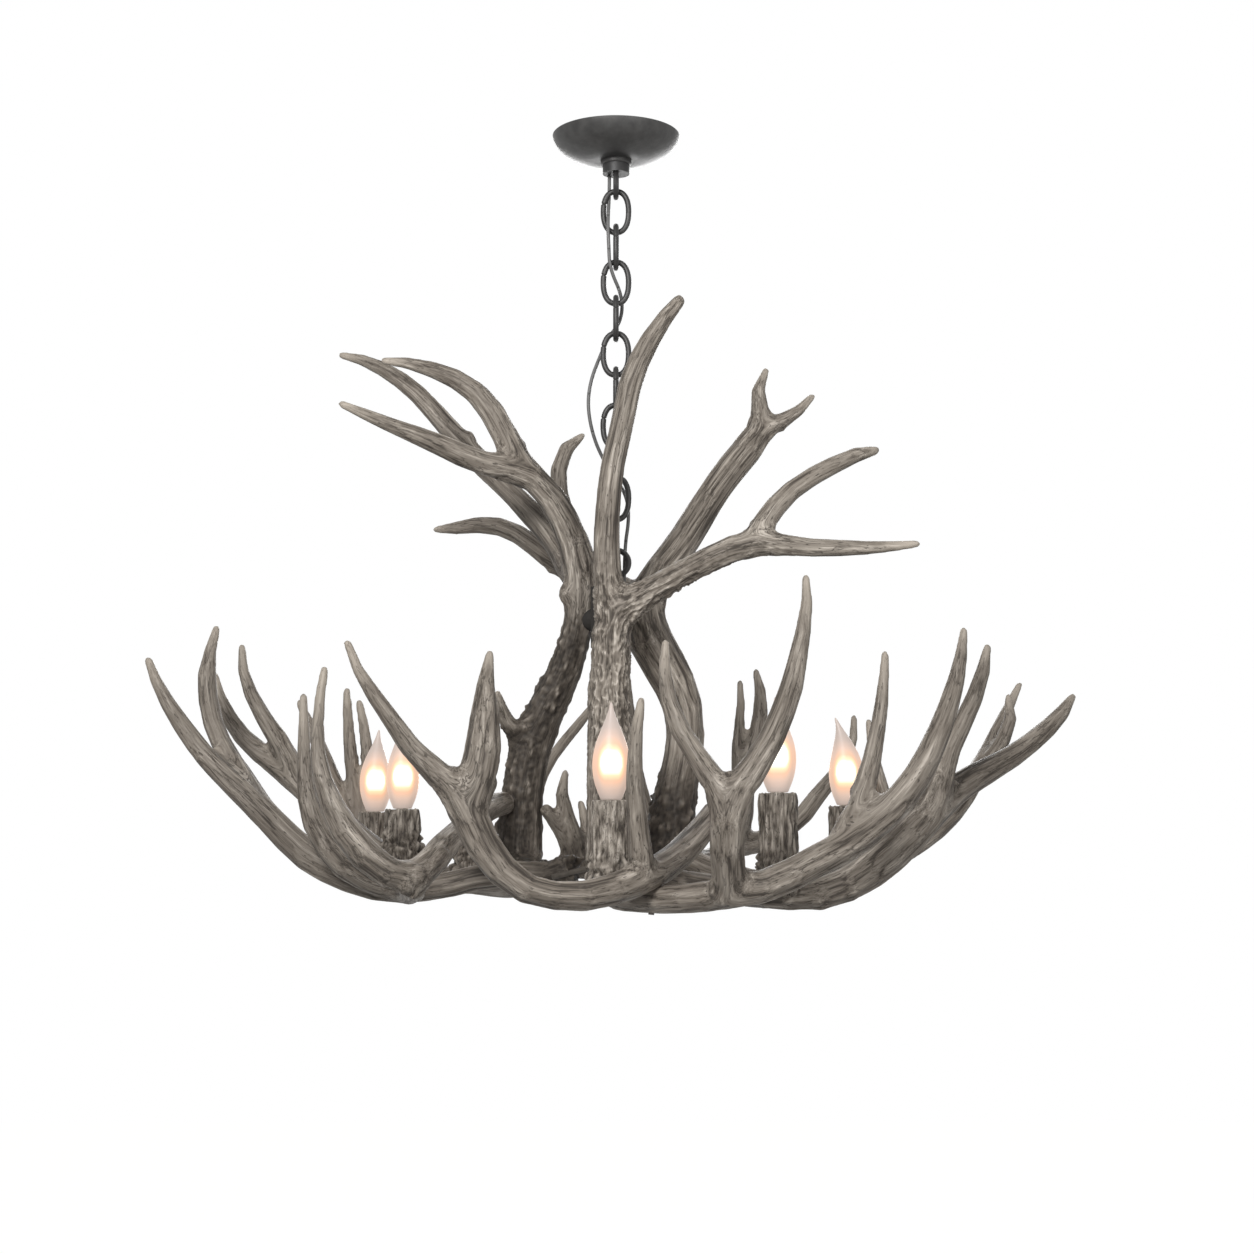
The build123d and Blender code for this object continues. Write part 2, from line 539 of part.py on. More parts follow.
# ---------------------------------------------------------------- lights
def bulb_outline(base_z):
    """Half outline of a flame tip bulb's thin glass, up its outside and back down its inside."""
    heights = [0, 0.08, 0.2, 0.34, 0.5, 0.66, 0.8, 0.92, 1.0]
    widths = [0.54, 0.72, 0.92, 1.0, 0.9, 0.66, 0.4, 0.17, 0.05]
    outside = [(bulb_radius * width, base_z + bulb_height * height)
               for height, width in zip(heights, widths)]
    inside = [(radius - bulb_wall, z) for radius, z in outside[1:-1]]
    floor_z = base_z + bulb_wall
    return [(bulb_hole_radius, base_z), *outside, (0, outside[-1][1]), (0, inside[-1][1]),
            *reversed(inside), (outside[0][0] - bulb_wall, floor_z), (bulb_hole_radius, floor_z)]


for number, (table_x, table_y, rim, seat) in enumerate(lights, 1):
    x, y, seat_z = place(table_x, table_y, seat)
    rim_z = up(rim)
    foot_z = seat_z - cover_skirt
    flare_top = foot_z + cover_flare_height
    socket_bottom = rim_z - socket_recess - socket_height
    with BuildPart() as candle_cover:
        with BuildSketch(Plane((x, y, foot_z))):
            RegularPolygon(cover_flare_radius, facet_turns)
        with BuildSketch(Plane((x, y, flare_top))):
            RegularPolygon(cover_radius, facet_turns)
        loft(ruled=True)
        with BuildSketch(Plane((x, y, flare_top))):
            RegularPolygon(cover_radius, facet_turns)
        extrude(amount=rim_z - flare_top)
        with BuildSketch(Plane((x, y, seat_z + cover_floor))):
            Circle(cover_radius - cover_wall)
        extrude(amount=rim_z - seat_z - cover_floor, mode=Mode.SUBTRACT)
        for antler in antlers.values():
            if antler.bounding_box().overlaps(candle_cover.part.bounding_box()):
                add(antler, mode=Mode.SUBTRACT)
        add(lamp_nipples.part, mode=Mode.SUBTRACT)
    save(candle_cover, f"candle_cover_{number}")

    with BuildPart() as lamp_socket:
        with BuildSketch(Plane((x, y, socket_bottom))):
            Circle(socket_radius)
        extrude(amount=socket_height)
        with BuildSketch(Plane((x, y, socket_bottom + socket_height - socket_bore_depth))):
            Circle(socket_bore_radius)
        extrude(amount=socket_bore_depth, mode=Mode.SUBTRACT)
    save(lamp_socket, f"lamp_socket_{number}")

    glass_bottom = rim_z + bulb_clearance
    with BuildPart() as bulb_glass:
        with BuildSketch(Plane((x, y, 0), x_dir=(1, 0, 0), z_dir=(0, -1, 0))):
            with BuildLine():
                Polyline(*bulb_outline(glass_bottom), close=True)
            make_face()
        revolve(axis=Axis((x, y, 0), (0, 0, 1)))
    save(bulb_glass, f"bulb_glass_{number}")

    with BuildPart() as bulb_base:
        with BuildSketch(Plane((x, y, glass_bottom - bulb_base_height))):
            Circle(bulb_base_radius)
        extrude(amount=bulb_base_height)
    save(bulb_base, f"bulb_base_{number}")
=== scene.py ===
"""Dresses an antler chandelier: weathered resin horn, bark cups, chain, cord and bulbs."""
import json
from math import cos, pi, radians, sin

import bmesh
import bpy
import numpy as np
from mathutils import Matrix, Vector, noise
from mathutils.bvhtree import BVHTree


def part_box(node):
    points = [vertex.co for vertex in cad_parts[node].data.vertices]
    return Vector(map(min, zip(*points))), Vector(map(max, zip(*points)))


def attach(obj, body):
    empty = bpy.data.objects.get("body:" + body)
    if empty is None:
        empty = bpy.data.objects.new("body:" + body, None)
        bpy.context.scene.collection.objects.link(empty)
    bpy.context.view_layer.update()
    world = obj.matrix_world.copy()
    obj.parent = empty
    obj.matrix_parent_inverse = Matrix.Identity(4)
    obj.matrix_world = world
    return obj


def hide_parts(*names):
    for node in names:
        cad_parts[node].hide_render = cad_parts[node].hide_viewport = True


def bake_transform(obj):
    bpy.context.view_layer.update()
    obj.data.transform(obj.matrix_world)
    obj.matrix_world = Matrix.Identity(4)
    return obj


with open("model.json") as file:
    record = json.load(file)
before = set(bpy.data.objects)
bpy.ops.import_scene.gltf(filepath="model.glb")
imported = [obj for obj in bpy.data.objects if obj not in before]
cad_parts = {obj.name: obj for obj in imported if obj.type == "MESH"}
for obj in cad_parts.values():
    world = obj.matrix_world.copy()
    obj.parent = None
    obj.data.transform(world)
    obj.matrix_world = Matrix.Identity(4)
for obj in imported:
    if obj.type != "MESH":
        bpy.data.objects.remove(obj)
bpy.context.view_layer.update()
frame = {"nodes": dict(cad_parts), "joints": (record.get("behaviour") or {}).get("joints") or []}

bl_info = {
    "name": "Antler chandelier",
    "version": (1, 0, 0),
    "blender": (4, 5, 0),
    "location": "View3D > Sidebar > Chandelier",
    "description": "Builds the looks of an antler chandelier around its construction model",
    "category": "Object",
}

MM = 0.001
CROWN = ("crown_antler_left", "crown_antler_front", "crown_antler_right")
BOWL = tuple(sorted(name for name in frame["nodes"] if name.startswith("bowl_antler")))
LINKS = tuple(sorted(name for name in frame["nodes"] if name.startswith("chain_link")))
LIGHTS = tuple(range(1, 7))
LINK_SQUARENESS = 0.86  # 1 makes a link an ellipse, less squares its shoulders


def low(node):
    """Lowest corner of a construction node, in metres."""
    return Vector(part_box(node)[0])


def high(node):
    """Highest corner of a construction node, in metres."""
    return Vector(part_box(node)[1])


def middle(node):
    """Middle of a construction node's box, in metres."""
    return (low(node) + high(node)) / 2


BOWL_Z = min(low(name).z for name in BOWL)


# ---- settings
def colour_setting(name, description, default):
    """Setting for a colour, as sRGB hex."""
    return bpy.props.StringProperty(name=name, description=description, default=default)


def length_setting(name, description, default):
    """Setting for a length in metres."""
    return bpy.props.FloatProperty(
        name=name, description=description, default=default, unit="LENGTH")


class StageSettings(bpy.types.PropertyGroup):
    camera_distance: length_setting(
        "Camera distance", "From the chandelier's axis to the lens", 2.089)
    camera_side: length_setting("Camera side step", "Camera to the right of the axis", 0.0107)
    camera_height: length_setting("Camera height", "Lens above the lowest antler", 0.0454)
    camera_tilt: bpy.props.FloatProperty(
        name="Camera tilt", description="Upward tilt of the lens",
        default=radians(6.0456), subtype="ANGLE")
    lens: bpy.props.FloatProperty(
        name="Lens", description="Focal length on a 36 mm wide picture", default=63.158)
    floor_drop: length_setting("Floor drop", "Floor below the lowest antler", 1.25)
    floor_colour: colour_setting("Floor", "Colour of the studio floor", "#f6f6f5")
    bounce_colour: colour_setting(
        "Bounce", "Floor's colour in the light that it gives back", "#b4b4b3")
    soft_colour: colour_setting("Soft light", "Colour of the light from all round", "#f2f4f8")
    soft_strength: bpy.props.FloatProperty(
        name="Soft light strength", description="Light from all round, 1 for white",
        default=0.26)


class HornSettings(bpy.types.PropertyGroup):
    voxel: length_setting("Mesh step", "Spacing of the horn's mesh", 0.0016)
    web: length_setting("Fork web", "Radius of the horn in a fork", 0.008)
    ridge: length_setting("Ridge height", "Height of the long ridges along a beam", 0.0009)
    bark: length_setting("Bark height", "Height of the knobs near a burr", 0.0026)
    # the groove colour is the stain in the grooves and also painted shade there, since the colour
    # darkens with the depth of the relief
    groove_stain_and_shade_colour: colour_setting("Groove", "Stain that stays in the grooves", "#423c36")
    shade_colour: colour_setting("Shade", "Darker streaks of the body", "#70685f")
    body_colour: colour_setting("Body", "Weathered middle tone", "#8b8379")
    rubbed_colour: colour_setting("Rubbed", "Dry brushed highlights", "#bab1a6")
    tip_colour: colour_setting("Tip", "Ivory of the worn tips", "#b8aea1")
    stain_colour: colour_setting("Stain", "Tint of the dark stain on bark", "#8b8682")


class LightSettings(bpy.types.PropertyGroup):
    glow: bpy.props.FloatProperty(
        name="Glow", description="Brightness of the lit glass", default=1.1)
    core_colour: colour_setting("Heart", "Colour at the heart of the glow", "#fffdf2")
    halo_colour: colour_setting("Halo", "Colour round the heart", "#dba67e")
    amber_colour: colour_setting("Amber", "Colour between heart and halo", "#f3d09c")
    blush_colour: colour_setting("Blush", "Colour between halo and plain glass", "#c0a08c")
    unlit_colour: colour_setting("Unlit glass", "Colour of the glass itself", "#857b76")
    glass_colour: colour_setting("Glass", "Frosted glass away from the glow", "#978b83")


class MetalSettings(bpy.types.PropertyGroup):
    chain_colour: colour_setting("Chain", "Pewter paint of the chain", "#333231")
    cord_colour: colour_setting("Cord", "Outer sheath of the cord", "#5d5c5b")
    cord_diameter: length_setting("Cord diameter", "Outside of the cord", 0.0035)


# ---- colours and nodes
def linear(text):
    """Linear RGBA of an sRGB hex colour."""
    channels = [int(text[i:i + 2], 16) / 255 for i in (1, 3, 5)]
    steps = [c / 12.92 if c <= 0.04045 else ((c + 0.055) / 1.055) ** 2.4 for c in channels]
    return (*steps, 1.0)


def add_node(tree, kind, settings=None, links=None):
    """Add a node, set its properties, sockets and colour stops, and link outputs into it."""
    node = tree.nodes.new(kind)
    for key, value in (settings or {}).items():
        if key == "stops":
            elements = node.color_ramp.elements
            for element, (position, colour) in zip(elements, (value[0], value[-1])):
                element.position, element.color = position, colour
            for position, colour in value[1:-1]:
                elements.new(position).color = colour
        elif isinstance(key, int) or key in node.inputs:
            node.inputs[key].default_value = value
        else:
            setattr(node, key, value)
    for key, output in (links or {}).items():
        tree.links.new(output, node.inputs[key])
    return node


def new_material(name):
    """Empty node material, returned with its tree."""
    material = bpy.data.materials.new(name)
    material.use_nodes = True
    tree = material.node_tree
    tree.nodes.clear()
    return material, tree


def wave_lengths(millimetres):
    """Noise scale, in waves a metre, for a pattern of that size."""
    return 1000.0 / millimetres


# ---- materials
def horn_material(name, settings, darkness, reach=1.0):
    """Polyurethane resin cast from horn, stained and dry brushed.

    The stain lies in the long grooves and pits, deepened there by painted shade that follows the
    relief, and the brush leaves pale ridges and tips.
    Reach is the length of the streaks, as a share of those on a beam.
    """
    material, tree = new_material(name)
    radial, relief, stain, slim = (
        add_node(tree, "ShaderNodeAttribute", {"attribute_name": kept})
        for kept in ("radial", "relief", "stain", "slim"))
    place = add_node(tree, "ShaderNodeTexCoord")

    def grain(width, length):
        """Noise that is width mm wide round the beam and about length mm long on it."""
        across = add_node(tree, "ShaderNodeVectorMath",
                          {"operation": "SCALE", "Scale": wave_lengths(width)},
                          {0: radial.outputs["Vector"]})
        along = add_node(tree, "ShaderNodeVectorMath",
                         {"operation": "SCALE", "Scale": wave_lengths(length * reach)},
                         {0: place.outputs["Object"]})
        both = add_node(tree, "ShaderNodeVectorMath", {"operation": "ADD"},
                        {0: across.outputs[0], 1: along.outputs[0]})
        waves = add_node(tree, "ShaderNodeTexNoise",
                         {"Scale": 1.0, "Detail": 3.0, "Roughness": 0.6},
                         {"Vector": both.outputs[0]})
        return waves.outputs["Fac"]

    bands = add_node(tree, "ShaderNodeMix", {"data_type": "FLOAT", 0: 0.34},
                     {2: grain(2.4, 60.0), 3: grain(10.0, 80.0)}).outputs[0]
    fine = add_node(tree, "ShaderNodeMix", {"data_type": "FLOAT", 0: 0.36},
                    {2: bands, 3: grain(1.1, 32.0)}).outputs[0]
    calm = add_node(tree, "ShaderNodeMix", {"data_type": "FLOAT", 3: 0.49},
                    {0: stain.outputs["Fac"], 2: fine}).outputs[0]  # bark has few streaks
    # the relief lowers the tone in grooves, pits and hollows and raises it on ridges and knobs:
    # stain and dry brushing, and painted shade in the hollows
    tone = add_node(tree, "ShaderNodeMath", {"operation": "MULTIPLY_ADD", 1: 0.13},
                    {0: relief.outputs["Fac"], 2: calm}).outputs[0]
    colour = add_node(tree, "ShaderNodeValToRGB", {"stops": [
        (0.35, linear(settings.groove_stain_and_shade_colour)), (0.44, linear(settings.shade_colour)),
        (0.535, linear(settings.body_colour)), (0.66, linear(settings.rubbed_colour))]},
        {"Fac": tone}).outputs["Color"]

    # thin dark cracks run along the contours of one more grain, here and there
    off_contour = add_node(tree, "ShaderNodeMath", {"operation": "SUBTRACT", 1: 0.5},
                           {0: grain(4.2, 70.0)}).outputs[0]
    distance = add_node(tree, "ShaderNodeMath", {"operation": "ABSOLUTE"},
                        {0: off_contour}).outputs[0]
    crack = add_node(tree, "ShaderNodeMapRange",
                     {"From Min": 0.004, "From Max": 0.024, "To Min": 0.85, "To Max": 0.0},
                     {"Value": distance}).outputs[0]
    here = add_node(tree, "ShaderNodeMapRange", {"From Min": 0.44, "From Max": 0.54},
                    {"Value": grain(13.0, 55.0)}).outputs[0]
    cracks = add_node(tree, "ShaderNodeMath", {"operation": "MULTIPLY"},
                      {0: crack, 1: here}).outputs[0]
    pits = add_node(tree, "ShaderNodeMapRange",
                    {"From Min": 0.63, "From Max": 0.68, "To Min": 0.0, "To Max": 0.8},
                    {"Value": grain(2.4, 9.0)}).outputs[0]
    marks = add_node(tree, "ShaderNodeMath", {"operation": "MAXIMUM"},
                     {0: cracks, 1: pits}).outputs[0]
    marked = add_node(tree, "ShaderNodeMix",
                      {"data_type": "RGBA", 7: linear(settings.groove_stain_and_shade_colour)},
                      {0: marks, 6: colour}).outputs[2]
    tip = add_node(tree, "ShaderNodeMapRange", {"From Min": 0.0052, "From Max": 0.0030,
                                                "To Min": 0.0, "To Max": 0.55},
                   {"Value": slim.outputs["Fac"]}).outputs[0]
    tipped = add_node(tree, "ShaderNodeMix",
                      {"data_type": "RGBA", 7: linear(settings.tip_colour)},
                      {0: tip, 6: marked}).outputs[2]
    dark = add_node(tree, "ShaderNodeMath",
                    {"operation": "ADD", "use_clamp": True, 1: darkness},
                    {0: stain.outputs["Fac"]}).outputs[0]
    stained = add_node(tree, "ShaderNodeMix",
                       {"data_type": "RGBA", "blend_type": "MULTIPLY",
                        7: linear(settings.stain_colour)},
                       {0: dark, 6: tipped}).outputs[2]
    rough = add_node(tree, "ShaderNodeMapRange", {"From Min": 0.4, "From Max": 0.6,
                                                  "To Min": 0.72, "To Max": 0.5},
                     {"Value": fine}).outputs[0]
    height = add_node(tree, "ShaderNodeMath", {"operation": "SUBTRACT"},
                      {0: fine, 1: marks}).outputs[0]
    bump = add_node(tree, "ShaderNodeBump", {"Strength": 0.6, "Distance": 0.0010},
                    {"Height": height})
    shader = add_node(tree, "ShaderNodeBsdfPrincipled", {"Specular IOR Level": 0.22},
                      {"Base Color": stained, "Roughness": rough,
                       "Normal": bump.outputs["Normal"]})
    add_node(tree, "ShaderNodeOutputMaterial", links={"Surface": shader.outputs[0]})
    return material


def metal_material(name, colour, metallic, roughness, wear):
    """Cast, plated or painted metal: soft clouds of tone about 9 mm wide and a fine tooth."""
    material, tree = new_material(name)
    place = add_node(tree, "ShaderNodeTexCoord")
    cloud = add_node(tree, "ShaderNodeTexNoise", {"Scale": wave_lengths(9.0), "Detail": 5.0},
                     {"Vector": place.outputs["Object"]}).outputs["Fac"]
    speck = add_node(tree, "ShaderNodeTexNoise", {"Scale": wave_lengths(1.2), "Detail": 3.0},
                     {"Vector": place.outputs["Object"]}).outputs["Fac"]
    base = Vector(linear(colour)[:3])
    shade = add_node(tree, "ShaderNodeValToRGB", {"stops": [
        (0.3, (*(base * (1 - wear)), 1)), (0.7, (*(base * (1 + wear)), 1))]},
        {"Fac": cloud}).outputs["Color"]
    rough = add_node(tree, "ShaderNodeMapRange", {"To Min": roughness - 0.08,
                                                  "To Max": roughness + 0.1},
                     {"Value": speck}).outputs[0]
    bump = add_node(tree, "ShaderNodeBump", {"Strength": 0.25, "Distance": 0.0004},
                    {"Height": speck})
    shader = add_node(tree, "ShaderNodeBsdfPrincipled", {"Metallic": metallic},
                      {"Base Color": shade, "Roughness": rough, "Normal": bump.outputs["Normal"]})
    add_node(tree, "ShaderNodeOutputMaterial", links={"Surface": shader.outputs[0]})
    return material


def frosted_glass(name, settings):
    """Acid frosted soda glass round a lit filament: a white heart that shows best where the
    wall is square to the eye, a peach halo, and cool rosy ends.
    """
    material, tree = new_material(name)
    glow = add_node(tree, "ShaderNodeAttribute", {"attribute_name": "glow"})
    wall = add_node(tree, "ShaderNodeLayerWeight", {"Blend": 0.5})
    clear = add_node(tree, "ShaderNodeMapRange",
                     {"interpolation_type": "SMOOTHSTEP", "From Min": 0.06, "From Max": 0.42,
                      "To Min": 1.0, "To Max": 0.5},
                     {"Value": wall.outputs["Facing"]}).outputs[0]
    seen = add_node(tree, "ShaderNodeMath", {"operation": "MULTIPLY"},
                    {0: glow.outputs["Fac"], 1: clear}).outputs[0]
    light = add_node(tree, "ShaderNodeValToRGB", {"stops": [
        (0.0, linear(settings.glass_colour)), (0.34, linear(settings.blush_colour)),
        (0.60, linear(settings.halo_colour)), (0.79, linear(settings.amber_colour)),
        (0.91, linear(settings.core_colour))]}, {"Fac": seen}).outputs["Color"]
    place = add_node(tree, "ShaderNodeTexCoord")
    frost = add_node(tree, "ShaderNodeTexNoise", {"Scale": wave_lengths(0.9), "Detail": 2.0},
                     {"Vector": place.outputs["Object"]}).outputs["Fac"]
    rough = add_node(tree, "ShaderNodeMapRange", {"To Min": 0.36, "To Max": 0.5},
                     {"Value": frost}).outputs[0]
    bump = add_node(tree, "ShaderNodeBump", {"Strength": 0.1, "Distance": 0.0002},
                    {"Height": frost})
    shader = add_node(tree, "ShaderNodeBsdfPrincipled",
                      {"Base Color": linear(settings.unlit_colour), "IOR": 1.5,
                       "Emission Strength": settings.glow},
                      {"Emission Color": light, "Roughness": rough,
                       "Normal": bump.outputs["Normal"]})
    add_node(tree, "ShaderNodeOutputMaterial", links={"Surface": shader.outputs[0]})
    return material


def plain_moulding(name, colour, roughness):
    """Moulded plastic, evenly coloured, whose faint orange peel breaks up its sheen."""
    material, tree = new_material(name)
    place = add_node(tree, "ShaderNodeTexCoord")
    peel = add_node(tree, "ShaderNodeTexNoise", {"Scale": wave_lengths(1.5), "Detail": 2.0},
                    {"Vector": place.outputs["Object"]}).outputs["Fac"]
    base = Vector(linear(colour)[:3])
    shade = add_node(tree, "ShaderNodeValToRGB", {"stops": [
        (0.3, (*(base * 0.88), 1)), (0.7, (*(base * 1.1), 1))]},
        {"Fac": peel}).outputs["Color"]
    rough = add_node(tree, "ShaderNodeMapRange", {"To Min": roughness - 0.06,
                                                  "To Max": roughness + 0.06},
                     {"Value": peel}).outputs[0]
    bump = add_node(tree, "ShaderNodeBump", {"Strength": 0.2, "Distance": 0.0002},
                    {"Height": peel})
    shader = add_node(tree, "ShaderNodeBsdfPrincipled", {},
                      {"Base Color": shade, "Roughness": rough, "Normal": bump.outputs["Normal"]})
    add_node(tree, "ShaderNodeOutputMaterial", links={"Surface": shader.outputs[0]})
    return material


# ---- mesh tools
def link_object(name, data):
    """Put a new object for a mesh, camera, lamp or curve into the scene."""
    piece = bpy.data.objects.new(name, data)
    bpy.context.scene.collection.objects.link(piece)
    return piece


def dress(piece, body, slot, material, *nodes):
    """Ride a piece on its body and give it its material; its slot is not used."""
    piece.data.materials.clear()
    piece.data.materials.append(material)
    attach(piece, body)
    if nodes:
        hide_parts(*nodes)
    return piece


def coat(material, *nodes):
    """Give construction nodes their finish."""
    for piece in [frame["nodes"][node] for node in nodes]:
        if not piece.material_slots:
            piece.data.materials.append(None)
        for holder in piece.material_slots:
            holder.link = "OBJECT"
            holder.material = material


def web_forks(piece, step, radius):
    """Fill every corner sharper than the radius: the shape swells by it, then shrinks by it."""
    tree = bpy.data.node_groups.new("web_forks", "GeometryNodeTree")
    tree.interface.new_socket("Shape", in_out="INPUT", socket_type="NodeSocketGeometry")
    tree.interface.new_socket("Shape", in_out="OUTPUT", socket_type="NodeSocketGeometry")
    band = int(radius / step) + 3
    shape = add_node(tree, "NodeGroupInput").outputs[0]
    for threshold in (radius, -radius):
        depths = add_node(tree, "GeometryNodeMeshToSDFGrid",
                          {"Voxel Size": step, "Band Width": band}, {"Mesh": shape})
        shape = add_node(tree, "GeometryNodeGridToMesh", {"Threshold": threshold},
                         {"Grid": depths.outputs[0]}).outputs[0]
    add_node(tree, "NodeGroupOutput", links={0: shape})
    piece.modifiers.new("webs", "NODES").node_group = tree


def even_copy(name, node, step, web=0.0):
    """New object with a construction node's shape, meshed evenly, with webs of that radius."""
    piece = link_object(name, frame["nodes"][node].data.copy())
    if web:
        web_forks(piece, step, web)
    even = piece.modifiers.new("even", "REMESH")
    even.mode = "VOXEL"
    even.voxel_size = step
    even.use_smooth_shade = True
    graph = bpy.context.evaluated_depsgraph_get()
    mesh = bpy.data.meshes.new_from_object(piece.evaluated_get(graph))
    piece.modifiers.clear()
    piece.data = mesh
    mesh.name = name
    mesh.materials.clear()
    return piece


RAY_START = 0.0002  # a ray across the horn starts this far under its surface
THINNEST = 0.0008  # least half thickness of a tip
EVENING_ROUNDS = 24  # even out the thickness along the horn


class Skin:
    """A mesh's points with the averages over neighbours that shaping them needs."""

    def __init__(self, mesh):
        self.mesh = mesh
        self.count = len(mesh.vertices)
        self.points = np.empty(self.count * 3, np.float64)
        mesh.vertices.foreach_get("co", self.points)
        self.points = self.points.reshape(-1, 3)
        edges = np.empty(len(mesh.edges) * 2, np.int64)
        mesh.edges.foreach_get("vertices", edges)
        edges = edges.reshape(-1, 2)
        self.start = np.concatenate((edges[:, 0], edges[:, 1]))
        self.end = np.concatenate((edges[:, 1], edges[:, 0]))
        self.degree = np.maximum(np.bincount(self.start, minlength=self.count), 1)

    def mean(self, values):
        """Average of each point's neighbours."""
        columns = values.reshape(self.count, -1)
        sums = [np.bincount(self.start, columns[self.end, i], self.count)
                for i in range(columns.shape[1])]
        return (np.stack(sums, 1) / self.degree[:, None]).reshape(values.shape)

    def relax(self, values, rounds, share=0.5):
        """Values drawn towards their neighbours for some rounds."""
        for _ in range(rounds):
            values = values + (self.mean(values) - values) * share
        return values

    def normals(self):
        """Outward direction at each point."""
        self.write()
        found = np.empty(self.count * 3, np.float32)
        self.mesh.vertices.foreach_get("normal", found)
        return found.reshape(-1, 3).astype(np.float64)

    def outward(self, rounds):
        """Outward direction at each point, evened out over its neighbours."""
        found = self.relax(self.normals(), rounds)
        return found / np.linalg.norm(found, axis=1)[:, None]

    def write(self):
        """Put the points back into the mesh."""
        self.mesh.vertices.foreach_set("co", self.points.ravel())
        self.mesh.update()

    def finish(self, **kept):
        """Put the points back, keep each value under its name, and shade smoothly."""
        self.write()
        for name, values in kept.items():
            store(self.mesh, name, values)
        self.mesh.shade_smooth()

    def radius(self, most):
        """Half the thickness of the horn at each point, evened out along it."""
        directions = self.normals()
        graph = BVHTree.FromPolygons(
            [tuple(p) for p in self.points], [tuple(f.vertices) for f in self.mesh.polygons])
        inner = self.points - directions * RAY_START
        halves = np.empty(self.count)
        for i in range(self.count):
            hit = graph.ray_cast(Vector(inner[i]), Vector(-directions[i]), most * 2)
            halves[i] = most if hit[3] is None else max(hit[3] / 2, THINNEST)
        return 1 / self.relax(1 / halves, EVENING_ROUNDS)


def store(mesh, name, values):
    """Keep a value or a vector for each point of a mesh."""
    kind = "FLOAT" if values.ndim == 1 else "FLOAT_VECTOR"
    field = "value" if values.ndim == 1 else "vector"
    attribute = mesh.attributes.new(name, kind, "POINT")
    attribute.data.foreach_set(field, values.astype(np.float32).ravel())


def waves(places, size):
    """Smooth noise at each place, from about -1 to 1, with features of that size."""
    return np.array([noise.noise(Vector(place)) for place in places / size])


def knobs(places, size):
    """Rounded lumps with creases between them, from 0 to 1."""
    steepness = 1.6
    near = [noise.voronoi(Vector(place))[0] for place in places / size]
    return np.array([min(1.0, (pair[1] - pair[0]) * steepness) for pair in near])


def thorn_heights(places, size):
    """Pointed lumps that stand apart, from 0 to 1, on spots about 0.8 of that size wide."""
    steepness, point = 2.4, 1.4
    near = np.array([noise.voronoi(Vector(place))[0][0] for place in places / size])
    return np.clip(1 - near * steepness, 0, 1) ** point


def smooth_step(low_end, high_end, values):
    """0 below the low end, 1 above the high end, and smooth between."""
    share = np.clip((values - low_end) / (high_end - low_end), 0, 1)
    return share * share * (3 - 2 * share)


# ---- horn

BARK_ENDS = {  # heights above the lowest antler between which the bark fades out
    "crown_antler_left": (0.24, 0.31),
    "crown_antler_front": (0.27, 0.35),
    "crown_antler_right": (0.09, 0.16),
}
BOWL_BARK_END = (0.05, 0.08)
BOWL_BARK_REACH = (0.05, 0.10)  # from the chandelier's axis
BARK_THICKNESS = (0.0065, 0.011)  # horn thinner than the first carries none
CORONET_END = (0.085, 0.135)
CORONET_HEIGHT = 0.0065
# dark stain on full bark, and all over the bowl
STAIN = {"crown_antler_left": 0.7, "crown_antler_front": 0.0, "crown_antler_right": 0.9}
BOWL_STAIN, BOWL_BARK_STAIN = 0.2, 0.8
# width of each pattern's features, in metres
RIDGE, FINE_RIDGE, GROOVE = 0.0062, 0.0034, 0.0095
WORM, GRIT, BEAD, PLATE = 0.0058, 0.0036, 0.0098, 0.0120
THORN, THORN_PATCH, CORONET = 0.0145, 0.021, 0.019

FULLNESS = 1.12  # thickness of real horn against solids lofted from flat-sided sections
LEFT_TINE_EXTRA = 0.18  # the left crown's trunk keeps its solid's thickness
LEFT_REAR_EXTRA = 0.16  # and its beam behind has this as well
UNDERSIDE_TRIM = 0.12  # off the underside of the bowl's middle
LEFT_BOWL_EXTRA, RIGHT_BOWL_TRIM = 0.12, 0.03  # undo what makes the solid bowl hang level

THICKEST = 0.026  # no horn is thicker than twice this
STOUT = 0.016  # horn of this radius is rounded in full, and thinner horn less
ROUNDING_ROUNDS, FILLING_ROUNDS = 40, 40
THICKNESS_CHANGE = (-0.002, 0.006)  # least and most that a point moves to restore thickness
REAR_BEAM_LEAN = 0.0075  # brings the left crown's rear beam in behind the main one


def bark_share(node, points, outward):
    """How much bark a point of an antler carries: strong round the burr, none on tines."""
    height = points[:, 2] - BOWL_Z
    if node in BOWL:
        near = 1 - smooth_step(*BOWL_BARK_REACH, np.hypot(points[:, 0], points[:, 1]))
        return near * (1 - smooth_step(*BOWL_BARK_END, height))
    bark = 1 - smooth_step(*BARK_ENDS[node], height)
    if node == "crown_antler_left":  # its right flank is worn to grooves
        return bark * (1 - 0.7 * smooth_step(0.35, 0.85, outward[:, 0]))
    if node == "crown_antler_front":  # plain lines down its left edge
        return bark * (0.25 + 0.6 * smooth_step(-0.028, -0.018, points[:, 0]))
    return bark


